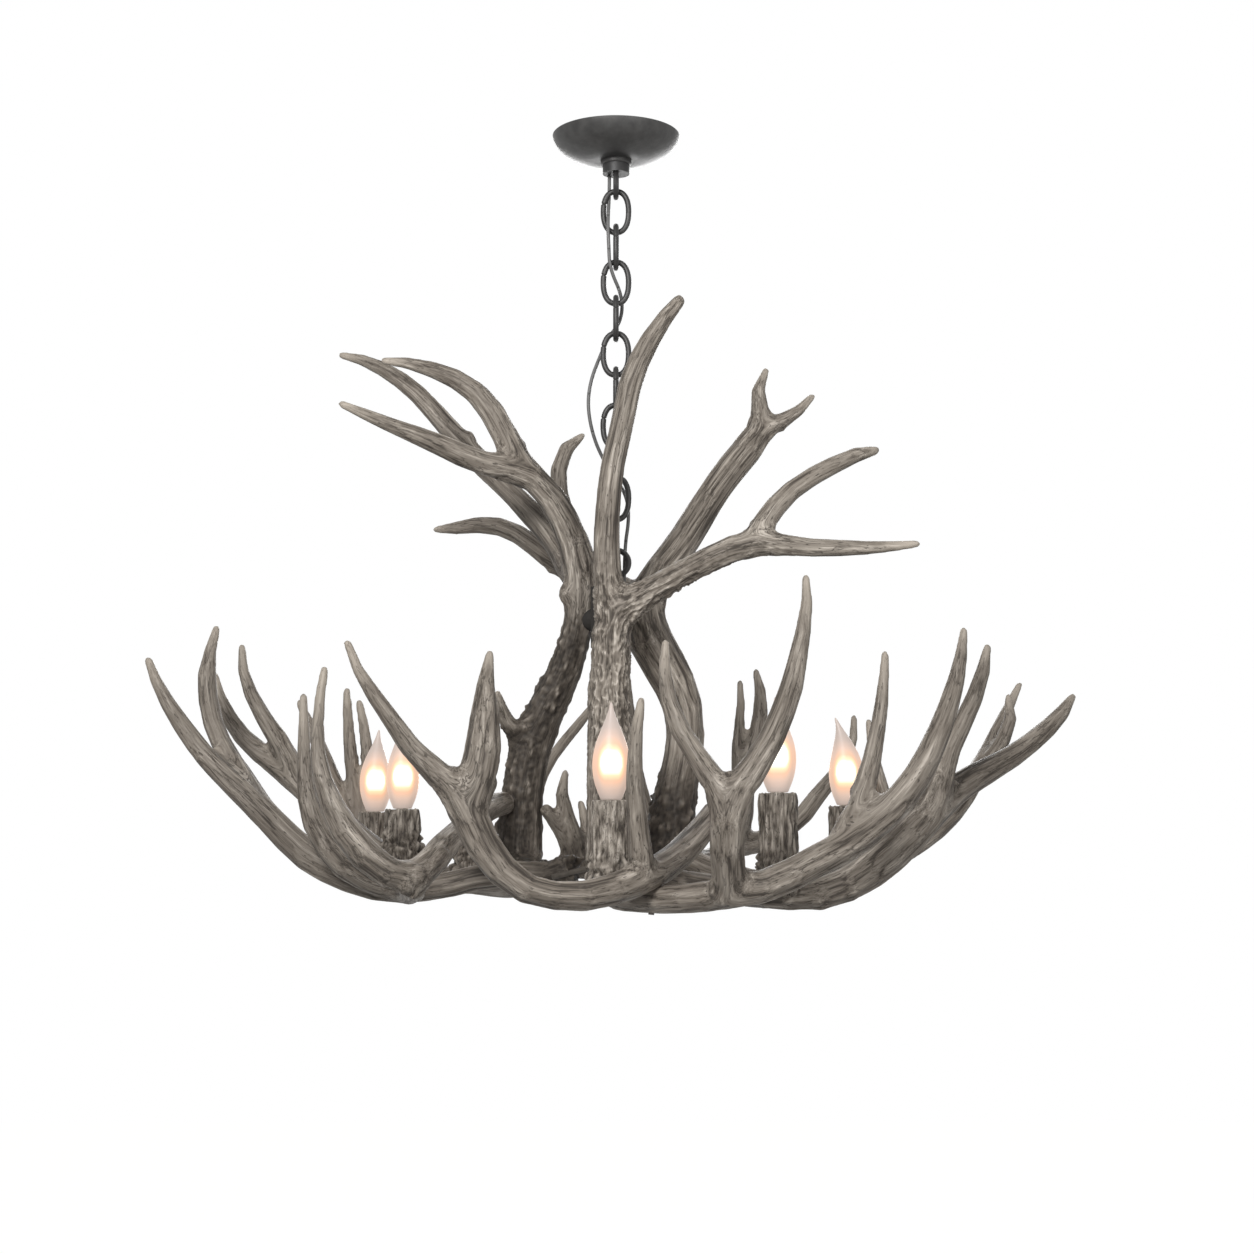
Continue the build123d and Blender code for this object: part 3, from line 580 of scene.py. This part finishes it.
def swell(node, points, outward):
    """Thickness of the horn as a share of the construction solid's."""
    height = points[:, 2] - BOWL_Z
    if node == "crown_antler_left":
        tines = smooth_step(0.27, 0.34, height)
        rear = smooth_step(0.03, 0.05, points[:, 1]) * (1 - smooth_step(0.43, 0.47, height))
        return 1 + tines * (LEFT_TINE_EXTRA + LEFT_REAR_EXTRA * rear)
    if node not in BOWL:
        return np.full(len(points), FULLNESS)
    across = points[:, 0]
    under = smooth_step(0.2, 0.9, -outward[:, 2]) * (1 - smooth_step(0.15, 0.25, np.abs(across)))
    full = FULLNESS - UNDERSIDE_TRIM * under
    if "left" in node:
        return full * (1 + LEFT_BOWL_EXTRA * smooth_step(0.13, 0.19, -across))
    if "right" in node:
        return full * (1 - RIGHT_BOWL_TRIM * smooth_step(0.13, 0.17, across))
    return full


def bark_relief(node, radial, places):
    """Height of the bark, about -1 to 2: worm ridges on the front crown, beads and thorns else."""
    worms = np.exp(-(waves(radial * 0.9 + places * 0.5, WORM) / 0.17) ** 2)
    grit = waves(places + 5.0, GRIT)
    if node == "crown_antler_front":
        return worms - 0.5 + grit * 0.45
    beads = thorn_heights(radial * 0.55 + places * 0.65, BEAD)
    plates = knobs(radial * 0.8 + places * 0.6, PLATE)
    patch = smooth_step(-0.2, 0.15, waves(places + 2.0, THORN_PATCH))
    thorns = thorn_heights(radial * 0.3 + places, THORN) * patch
    return beads * 1.7 + plates * 0.3 - 0.55 + thorns * 1.6 + grit * 0.4


def round_horn(skin, node):
    """Round a faceted antler and restore its thickness, and return radius and outward direction."""
    radius = skin.radius(THICKEST)
    share = 0.5 * np.clip((radius / STOUT) ** 2, 0.35, 1.0)[:, None]
    skin.points = skin.relax(skin.points, ROUNDING_ROUNDS, share)
    rounded = skin.radius(THICKEST)
    outward = skin.outward(8)
    missing = radius * swell(node, skin.points, outward) - rounded
    skin.points = skin.points + outward * np.clip(missing, *THICKNESS_CHANGE)[:, None]
    if node == "crown_antler_left":
        height = skin.points[:, 2] - BOWL_Z
        behind = smooth_step(0.028, 0.05, skin.points[:, 1])
        bent = smooth_step(0.31, 0.35, height) * (1 - smooth_step(0.40, 0.45, height))
        skin.points[:, 0] += REAR_BEAM_LEAN * behind * bent
    for _ in range(FILLING_ROUNDS):  # hollows fill, which softens the edges of each web
        pull = np.sum((skin.mean(skin.points) - skin.points) * outward, axis=1)
        skin.points = skin.points + outward * (np.maximum(pull, 0) * 0.5)[:, None]
    return radius, outward


def shape_horn(piece, node, settings):
    """Raise an antler's ridges, bark and burr, and store what its colour needs."""
    skin = Skin(piece.data)
    radius, outward = round_horn(skin, node)
    radial = outward * radius[:, None]
    places = skin.points
    ridges = waves(radial + places * 0.10, RIDGE)
    fine_ridges = waves(radial + places * 0.07 + 3.0, FINE_RIDGE)
    grooves = np.exp(-(waves(radial + places * 0.08 + 9.0, GROOVE) / 0.16) ** 2)
    stout = smooth_step(0.004, 0.012, radius)
    relief = (ridges * 0.9 + fine_ridges * 0.35 - grooves * 0.7) * (0.12 + 0.88 * stout)
    bark = bark_share(node, places, outward) * smooth_step(*BARK_THICKNESS, radius)
    rough = bark_relief(node, radial, places)
    height = relief * settings.ridge * (1 - 0.6 * bark) + rough * settings.bark * bark
    if node != "crown_antler_front":  # the coronet of large thorns round the burr
        burr = bark * (1 - smooth_step(*CORONET_END, places[:, 2] - BOWL_Z))
        coronet = thorn_heights(places, CORONET) * burr
        height += coronet * CORONET_HEIGHT
        rough = rough + coronet * 0.6
    skin.points = places + outward * height[:, None]
    skin.finish(
        radial=radial,
        # relief also paints shade into the hollows of the colour, besides the stain and dry
        # brushing
        relief=np.clip(relief * (1 - bark) + rough * 1.6 * bark, -2.0, 2.0),
        stain=bark * STAIN.get(node, BOWL_BARK_STAIN) + (BOWL_STAIN if node in BOWL else 0.0),
        slim=radius)


# ---- turned and bent shapes
def mesh_from(name, shape):
    """New smooth shaded mesh from a closed bmesh, which is freed."""
    bmesh.ops.recalc_face_normals(shape, faces=shape.faces)
    data = bpy.data.meshes.new(name)
    shape.to_mesh(data)
    shape.free()
    data.shade_smooth()
    return data


def lathe(name, outline, centre, turns=40, bend=None):
    """Closed turned shape from (radius, z) points, about a vertical axis through centre."""
    mesh = bmesh.new()
    rings = []
    for radius, z in outline:
        shift = bend(z) if bend else (0.0, 0.0)
        if radius == 0:
            rings.append([mesh.verts.new((centre[0] + shift[0], centre[1] + shift[1], z))])
            continue
        rings.append([mesh.verts.new((centre[0] + shift[0] + radius * cos(2 * pi * k / turns),
                                      centre[1] + shift[1] + radius * sin(2 * pi * k / turns), z))
                      for k in range(turns)])
    for lower, upper in zip(rings, rings[1:]):
        for k in range(turns):
            corners = [lower[k % len(lower)], lower[(k + 1) % len(lower)],
                       upper[(k + 1) % len(upper)], upper[k % len(upper)]]
            unique = list(dict.fromkeys(corners))
            if len(unique) > 2:
                mesh.faces.new(unique)
    for ring in (rings[0], rings[-1]):
        if len(ring) > 2:
            mesh.faces.new(ring)
    return link_object(name, mesh_from(name, mesh))


def tube_mesh(name, path, radii, sides, closed):
    """Round tube along points, with a radius at each, closed on itself or capped."""
    mesh = bmesh.new()
    path = [Vector(p) for p in path]
    count = len(path)
    rings = []
    tangent = (path[1] - path[0]).normalized()
    side = tangent.orthogonal().normalized()
    for i, point in enumerate(path):
        before = path[i - 1] if closed or i else path[0]
        after = path[(i + 1) % count] if closed or i < count - 1 else path[-1]
        tangent = (after - before).normalized()
        side = (side - tangent * side.dot(tangent)).normalized()
        other = tangent.cross(side)
        rings.append([mesh.verts.new(point + (side * cos(2 * pi * k / sides)
                                              + other * sin(2 * pi * k / sides)) * radii[i])
                      for k in range(sides)])
    pairs = list(zip(rings, rings[1:]))
    if closed:
        twist = min(range(sides), key=lambda s: (rings[0][s].co - rings[-1][0].co).length)
        pairs.append((rings[-1], rings[0][twist:] + rings[0][:twist]))
    for lower, upper in pairs:
        for k in range(sides):
            following = (k + 1) % sides
            mesh.faces.new((lower[k], lower[following], upper[following], upper[k]))
    if not closed:
        mesh.faces.new(rings[0])
        mesh.faces.new(rings[-1])
    return mesh_from(name, mesh)


# ---- operators
def white_rays(tree):
    """1 for the rays that show the surround: the camera's, and those of gloss and glass."""
    path = add_node(tree, "ShaderNodeLightPath")
    mirrored = add_node(tree, "ShaderNodeMath", {"operation": "MAXIMUM"},
                        {0: path.outputs["Is Glossy Ray"], 1: path.outputs["Is Transmission Ray"]})
    return add_node(tree, "ShaderNodeMath", {"operation": "MAXIMUM"},
                    {0: path.outputs["Is Camera Ray"], 1: mirrored.outputs[0]}).outputs[0]


LAMPS = (  # name, place, width and watts
    ("key_softbox", (-0.7, -2.2, 0.45), 0.9, 61.0),
    ("fill_softbox", (1.1, -2.1, -0.3), 1.2, 19.0),
    ("back_softbox", (0.2, 2.5, 0.2), 1.8, 62.0),
)
LAMP_AIM = 0.2  # height above the lowest antler
FLOOR_HALF = 9.0
FLOOR_WHITE = 1.3  # strength of the white that the camera sees in the floor
FLOOR_WHITE_SHARE = 0.8  # the rest is paper, which keeps the shadow


class CHANDELIER_OT_stage(bpy.types.Operator):
    """Studio: camera, pale floor, white surround and soft lamps"""
    bl_idname = "chandelier.stage"
    bl_label = "Studio"

    def execute(self, context):
        settings = context.scene.chandelier_stage
        camera_data = bpy.data.cameras.new("camera")
        camera_data.lens = settings.lens
        camera_data.sensor_width = 36.0
        camera_data.clip_end = 60.0
        camera = link_object("camera", camera_data)
        camera.location = (settings.camera_side, -settings.camera_distance,
                           BOWL_Z + settings.camera_height)
        camera.rotation_euler = (pi / 2 + settings.camera_tilt, 0, 0)
        context.scene.camera = camera

        mesh = bpy.data.meshes.new("floor")
        z = BOWL_Z - settings.floor_drop
        corners = ((-1, -1), (1, -1), (1, 1), (-1, 1))
        mesh.from_pydata([(x * FLOOR_HALF, y * FLOOR_HALF, z) for x, y in corners],
                         [], [(0, 1, 2, 3)])
        floor = link_object("floor", mesh)
        material, tree = new_material("matt_studio_paper")
        pale = linear(settings.floor_colour)
        paper = add_node(tree, "ShaderNodeBsdfDiffuse", {"Color": pale})
        bounce = add_node(tree, "ShaderNodeBsdfDiffuse",
                          {"Color": linear(settings.bounce_colour)})
        white = add_node(tree, "ShaderNodeEmission", {"Color": pale, "Strength": FLOOR_WHITE})
        shown = add_node(tree, "ShaderNodeMixShader", {0: FLOOR_WHITE_SHARE},
                         {1: paper.outputs[0], 2: white.outputs[0]})
        both = add_node(tree, "ShaderNodeMixShader", {},
                        {0: white_rays(tree), 1: bounce.outputs[0], 2: shown.outputs[0]})
        add_node(tree, "ShaderNodeOutputMaterial", links={"Surface": both.outputs[0]})
        mesh.materials.append(material)

        world = bpy.data.worlds.new("surround")
        world.use_nodes = True
        context.scene.world = world
        tree = world.node_tree
        tree.nodes.clear()
        soft = add_node(tree, "ShaderNodeBackground",
                        {"Color": linear(settings.soft_colour),
                         "Strength": settings.soft_strength})
        white = add_node(tree, "ShaderNodeBackground",
                         {"Color": linear("#ffffff"), "Strength": 1.0})
        both = add_node(tree, "ShaderNodeMixShader", {},
                        {0: white_rays(tree), 1: soft.outputs[0], 2: white.outputs[0]})
        add_node(tree, "ShaderNodeOutputWorld", links={"Surface": both.outputs[0]})

        aim = Vector((0, 0, BOWL_Z + LAMP_AIM))
        for name, place, size, watts in LAMPS:
            lamp = bpy.data.lights.new(name, "AREA")
            lamp.shape = "DISK"
            lamp.size = size
            lamp.energy = watts
            holder = link_object(name, lamp)
            holder.location = place
            holder.rotation_euler = (aim - Vector(place)).to_track_quat("-Z", "Y").to_euler()
        context.scene.view_settings.view_transform = "Standard"
        return {"FINISHED"}


class CHANDELIER_OT_antlers(bpy.types.Operator):
    """Crown and bowl antlers of cast resin horn"""
    bl_idname = "chandelier.antlers"
    bl_label = "Antlers"

    def execute(self, context):
        settings = context.scene.chandelier_horn
        pale = horn_material("cast_resin_antler_weathered", settings, 0.0)
        dark = horn_material("cast_resin_antler_charcoal", settings, 0.06)
        for node in CROWN + BOWL:
            close_tines = "back" in node or "rear" in node  # a wide web would join them
            web = settings.web * (0.5 if close_tines else 1.0)
            piece = even_copy(f"{node}_horn", node, settings.voxel, web)
            shape_horn(piece, node, settings)
            left = node == "crown_antler_left"
            dress(piece, "fixture", "dark_bark_resin" if left else "antler_resin",
                  dark if left else pale, node)
        return {"FINISHED"}


CUP_VOXEL = 0.0013
CUP_WALL = (0.0140, 0.0158)  # radii between which a cup's bore ends and its bark begins
CUP_FOOT = (0.020, 0.040)  # heights between which the lumpy foot fades out
CUP_RADIUS = 0.017
CUP_GROOVES = {1: 0.0005}  # depth on the smooth front cup
DEEP_GROOVES = 0.0013  # depth on the others
CUP_GROOVE, CUP_PIT, CUP_LUMP = 0.0040, 0.0030, 0.0095  # widths
FOOT_SWELL, FOOT_LUMPS = 0.0022, 0.0055  # heights


def shape_cup(piece, node, number):
    """Carve a cup's grooves, pits and lumpy foot, and store what its colour needs."""
    skin = Skin(piece.data)
    skin.points = skin.relax(skin.points, 4)
    outward = skin.outward(2)
    arm = skin.points - np.array(middle(f"lamp_socket_{number}"))
    arm[:, 2] = 0
    outside = smooth_step(*CUP_WALL, np.linalg.norm(arm, axis=1))
    seed = np.array([number * 0.7, number * 0.3, 0])
    grooves = np.abs(waves(arm + skin.points * np.array([0, 0, 0.2]) + seed, CUP_GROOVE))
    pits = waves(arm * 0.8 + skin.points * np.array([0, 0, 0.4]) + seed, CUP_PIT)
    lumps = knobs(skin.points + seed, CUP_LUMP) - 0.35
    foot = 1 - smooth_step(*CUP_FOOT, skin.points[:, 2] - low(node).z)
    relief = np.clip(grooves * 3.2 - 0.75, -1, 0.9) + pits * 0.6
    depth = CUP_GROOVES.get(number, DEEP_GROOVES)
    raised = relief * depth * (1 - foot * 0.5) + foot * (FOOT_SWELL + lumps * FOOT_LUMPS)
    skin.points += outward * (raised * outside)[:, None]
    skin.finish(
        radial=arm,
        # relief also paints shade into the hollows of the colour, besides the stain and dry
        # brushing
        relief=np.clip((relief + lumps * foot * 1.5) * outside, -1.4, 1.4),
        stain=foot * 0.3,
        slim=np.full(skin.count, CUP_RADIUS))


class CHANDELIER_OT_candle_cups(bpy.types.Operator):
    """Bark candle cups round the lamp sockets"""
    bl_idname = "chandelier.candle_cups"
    bl_label = "Candle cups"

    def execute(self, context):
        settings = context.scene.chandelier_horn
        dark = horn_material("cast_resin_bark_dark", settings, 0.35, 0.35)
        light = horn_material("cast_resin_bark_light", settings, 0.0, 0.2)
        for number in LIGHTS:
            node = f"candle_cover_{number}"
            piece = even_copy(f"candle_cup_{number}", node, CUP_VOXEL)
            shape_cup(piece, node, number)
            dress(piece, "fixture", "bark_resin", light if number == 1 else dark, node)
        return {"FINISHED"}


FLAME_TIP = (  # shares of the greatest radius and of the height, from the neck up
    (0.0, 0.0), (0.50, 0.0), (0.56, 0.006), (0.60, 0.03), (0.74, 0.09), (0.88, 0.17),
    (0.97, 0.26), (1.0, 0.34), (0.985, 0.42), (0.92, 0.50), (0.80, 0.585), (0.65, 0.665),
    (0.49, 0.74), (0.345, 0.805), (0.235, 0.86), (0.16, 0.905), (0.11, 0.945),
    (0.08, 0.975), (0.045, 0.994), (0.0, 1.0),
)
LEANS = {1: 0.0, 2: -0.002, 3: -0.010, 4: 0.003, 5: -0.003, 6: 0.002}  # of each drawn tip
LEAN_START = 0.45  # share of the height above which a tip leans
FILAMENT = 0.38  # share of the height
GLOW_REACH = (0.02, 0.42)  # shares of the height between which the glow fades out
BASE_PLAY = 0.0003  # round a bulb's base
SOCKET_EDGE = 0.001
RIB_PITCH, RIB_DEPTH, RIB_HALF, RIBS_BELOW_TOP = 0.003, 0.0005, 0.0006, 0.010


def socket_outline(socket, base, centre):
    """Outline of a ribbed socket shell with its bore, as (radius, z) points."""
    floor, top = low(socket).z, high(socket).z
    outer = high(socket).x - centre.x
    bore = high(base).x - centre.x + BASE_PLAY
    inner_floor = low(base).z - BASE_PLAY
    outline = [(0.0, floor), (outer - SOCKET_EDGE, floor), (outer, floor + SOCKET_EDGE)]
    for rib in range(3):
        z = top - RIBS_BELOW_TOP + rib * RIB_PITCH
        outline += [(outer, z - RIB_HALF), (outer - RIB_DEPTH, z), (outer, z + RIB_HALF)]
    return outline + [(outer, top - 0.0008), (outer - 0.0008, top), (bore + 0.0006, top),
                      (bore, top - 0.0006), (bore, inner_floor), (0.0, inner_floor)]


class CHANDELIER_OT_lamps(bpy.types.Operator):
    """Lamp sockets and flame tip bulbs"""
    bl_idname = "chandelier.lamps"
    bl_label = "Sockets and bulbs"

    def execute(self, context):
        settings = context.scene.chandelier_light
        glass = frosted_glass("frosted_bulb_glass", settings)
        # phenolic is a brown black with a soft sheen, and nickel over brass is warm and bright
        phenolic = plain_moulding("phenolic_black", "#26231f", 0.45)
        nickel = metal_material("nickel_plated_brass", "#c9c4b6", 1.0, 0.3, 0.1)
        for number in LIGHTS:
            socket, base = f"lamp_socket_{number}", f"bulb_base_{number}"
            centre = middle(socket)
            shell = lathe(f"socket_shell_{number}", socket_outline(socket, base, centre), centre)
            dress(shell, "fixture", "socket_phenolic", phenolic, socket)

            node = f"bulb_glass_{number}"
            start = low(node).z
            height = high(node).z - start
            widest = high(node).x - centre.x

            def bend(z, start=start, height=height, lean=LEANS[number]):
                """Sideways lean of the flame tip at a height."""
                share = max(0.0, (z - start) / height - LEAN_START) / (1 - LEAN_START)
                return (lean * share ** 2, 0.0)

            outline = [(widest * r, start + height * h) for r, h in FLAME_TIP]
            bulb = lathe(f"bulb_{number}_envelope", outline, centre, 48, bend)
            smooth = bulb.modifiers.new("blown", "SUBSURF")
            smooth.levels = smooth.render_levels = 1
            points = np.empty(len(bulb.data.vertices) * 3)
            bulb.data.vertices.foreach_get("co", points)
            share = (points.reshape(-1, 3)[:, 2] - start) / height
            store(bulb.data, "glow", 1 - smooth_step(*GLOW_REACH, np.abs(share - FILAMENT)))
            dress(bulb, f"bulb_{number}", "frosted_bulb", glass, node)
            coat(nickel, base)
        return {"FINISHED"}


LINK_STEPS = 52  # points round a link
SEAM = pi - 0.32  # place of the butt joint round a link, on the left above the middle
SEAM_STEP = 0.022  # spacing of the points at the joint
SEAM_CLEAR = 0.08  # no even point lies this near to it
NOTCH = 0.72  # share of the wire's radius in the joint
LINK_SIDES, CORD_SIDES = 14, 12


class CHANDELIER_OT_chain(bpy.types.Operator):
    """Chain links with their butt joints, and the loops at both ends"""
    bl_idname = "chandelier.chain"
    bl_label = "Chain"

    def execute(self, context):
        settings = context.scene.chandelier_metal
        # satin paint over bent wire: dark grey, half metallic, rubbed lighter here and there
        pewter = metal_material("pewter_painted_steel_chain", settings.chain_colour,
                                0.4, 0.46, 0.3)
        dark = metal_material("pewter_painted_steel_dark", "#2e2d2d", 0.4, 0.5, 0.2)
        for number, node in enumerate(LINKS, 1):
            centre = middle(node)
            size = high(node) - low(node)
            facing = Vector((1, 0, 0)) if size.x > size.y else Vector((0, 1, 0))
            wire = min(size.x, size.y) / 2
            bend = max(size.x, size.y) / 2 - wire
            tall = size.z / 2 - wire
            even = [2 * pi * k / LINK_STEPS for k in range(LINK_STEPS)]
            near = [SEAM + step * SEAM_STEP for step in range(-3, 4)]
            turns = sorted([a for a in even if abs(a - SEAM) > SEAM_CLEAR] + near)
            path, radii = [], []
            for angle in turns:
                across = abs(cos(angle)) ** LINK_SQUARENESS * (1 if cos(angle) > 0 else -1)
                up = abs(sin(angle)) ** LINK_SQUARENESS * (1 if sin(angle) > 0 else -1)
                path.append(centre + facing * bend * across + Vector((0, 0, tall * up)))
                notched = abs(angle - SEAM) < 1.5 * SEAM_STEP
                radii.append(wire * (NOTCH if notched else 1.0))
            name = f"link_{number:02d}_wire"
            link = link_object(name, tube_mesh(name, path, radii, LINK_SIDES, True))
            dress(link, f"link_{number:02d}", "chain_pewter", pewter, node)
        coat(dark, "canopy_loop", "fixture_loop")
        return {"FINISHED"}


CORD_FOOT = 0.301  # height of the cord's lower end in the list of its points
CORD_TOP_SHIFT = Vector((-0.0065, 0.0065))
CORD_FOOT_SHIFT = Vector((0.008, 0.009))


def cord_route():
    """Route of the cord in metres, from the canopy's collar to the hub."""
    middle_points = [(-6.5, 6.5, 693), (-8, -8, 661), (-7, -9, 638), (-6, -7.5, 615),
                     (6.5, 8, 591), (5, 21, 570), (-8, 19, 553), (-16, 9, 531), (-24, 4, 509),
                     (-27.5, 2, 485), (-24, 4, 460), (-16, 12, 438), (-3, 22, 418),
                     (10, 16, 398), (13, 7, 373), (8, 9, 343)]
    top, foot = high("supply_cord").z, low("supply_cord").z
    datum = foot - CORD_FOOT
    route = [Vector((*CORD_TOP_SHIFT, top))]
    route += [Vector((x * MM, y * MM, datum + height * MM)) for x, y, height in middle_points]
    return route + [Vector((*CORD_FOOT_SHIFT, foot))]


class CHANDELIER_OT_cord(bpy.types.Operator):
    """Cord woven through the chain, in spans cut at each hinge"""
    bl_idname = "chandelier.cord"
    bl_label = "Cord"

    def execute(self, context):
        settings = context.scene.chandelier_metal
        # extruded vinyl: plain mid grey with a soft sheen
        sheath = plain_moulding("pvc_cord_sheath", settings.cord_colour, 0.5)
        places = cord_route()
        curve = bpy.data.curves.new("cord_route", "CURVE")
        curve.dimensions = "3D"
        curve.resolution_u = 12
        spline = curve.splines.new("NURBS")
        spline.points.add(len(places) - 1)
        for point, place in zip(spline.points, places):
            point.co = (*place, 1)
        spline.order_u = 3
        spline.use_endpoint_u = True
        route = link_object("cord_route", curve)
        graph = context.evaluated_depsgraph_get()
        line = bpy.data.meshes.new_from_object(route.evaluated_get(graph))
        points = [v.co.copy() for v in line.vertices]
        bpy.data.objects.remove(route)
        joints = {joint["child"]: joint for joint in frame["joints"]}
        bodies = ["ceiling_plate"] + [f"link_{k:02d}" for k in range(1, 11)] + ["fixture"]
        pivots = [joints[body]["pos_m"][2] for body in bodies[1:]]
        cuts = [(a + b) / 2 for a, b in zip(pivots, pivots[1:])]
        first = 0
        radius = settings.cord_diameter / 2
        for k, pivot in enumerate(pivots):
            last = len(points) - 1
            if k < len(cuts):
                last = next(i for i in range(first + 2, len(points)) if points[i].z < cuts[k])
            stretch = points[first:last + 1]
            name = f"cord_span_{k + 1:02d}"
            data = tube_mesh(name, stretch, [radius] * len(stretch), CORD_SIDES, False)
            span = link_object(name, data)
            data.materials.append(sheath)
            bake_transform(span)
            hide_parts("supply_cord")
            first = last
        return {"FINISHED"}


class CHANDELIER_OT_fittings(bpy.types.Operator):
    """Canopy, crossbar, hub and the small steel fittings"""
    bl_idname = "chandelier.fittings"
    bl_label = "Fittings"

    def execute(self, context):
        # zinc is bright and faintly blue, the canopy's paint is satin, the cast hub is near
        # black and dull, and the screws in the horn are stained down with it
        zinc = metal_material("zinc_plated_steel", "#b9babc", 1.0, 0.35, 0.12)
        pewter = metal_material("pewter_painted_canopy", "#3e3d3c", 0.4, 0.46, 0.25)
        iron = metal_material("cast_iron_hub", "#24211e", 0.2, 0.8, 0.25)
        stained = metal_material("stained_steel_screws", "#4c463f", 0.1, 0.75, 0.3)
        coat(zinc, "crossbar", "canopy_nipple", "nipple_nut", "lamp_nipples")
        coat(stained, "hub_screws", "antler_screws")
        coat(pewter, "canopy", "collar_ring")
        coat(iron, "waist_hub")
        return {"FINISHED"}


class CHANDELIER_PT_panel(bpy.types.Panel):
    """Builders of the chandelier's looks"""
    bl_idname = "CHANDELIER_PT_panel"
    bl_label = "Chandelier"
    bl_space_type = "VIEW_3D"
    bl_region_type = "UI"
    bl_category = "Chandelier"

    def draw(self, context):
        for group in ("chandelier_stage", "chandelier_horn", "chandelier_light",
                      "chandelier_metal"):
            box = self.layout.box()
            settings = getattr(context.scene, group)
            for name in settings.__annotations__:
                box.prop(settings, name)
        for operator in OPERATORS:
            self.layout.operator(operator.bl_idname)


GROUPS = {"chandelier_stage": StageSettings, "chandelier_horn": HornSettings,
          "chandelier_light": LightSettings, "chandelier_metal": MetalSettings}
OPERATORS = (CHANDELIER_OT_stage, CHANDELIER_OT_fittings, CHANDELIER_OT_chain,
             CHANDELIER_OT_cord, CHANDELIER_OT_lamps, CHANDELIER_OT_candle_cups,
             CHANDELIER_OT_antlers)


def register():
    """Register the settings, the operators and the panel."""
    for name, group in GROUPS.items():
        bpy.utils.register_class(group)
        setattr(bpy.types.Scene, name, bpy.props.PointerProperty(type=group))
    for operator in OPERATORS:
        bpy.utils.register_class(operator)
    bpy.utils.register_class(CHANDELIER_PT_panel)


def unregister():
    """Take everything away again."""
    bpy.utils.unregister_class(CHANDELIER_PT_panel)
    for operator in reversed(OPERATORS):
        bpy.utils.unregister_class(operator)
    for name, group in reversed(GROUPS.items()):
        delattr(bpy.types.Scene, name)
        bpy.utils.unregister_class(group)


def main():
    """Build every piece in order."""
    register()
    for operator in OPERATORS:
        group, name = operator.bl_idname.split(".")
        getattr(getattr(bpy.ops, group), name)()


if __name__ == "__main__":
    main()
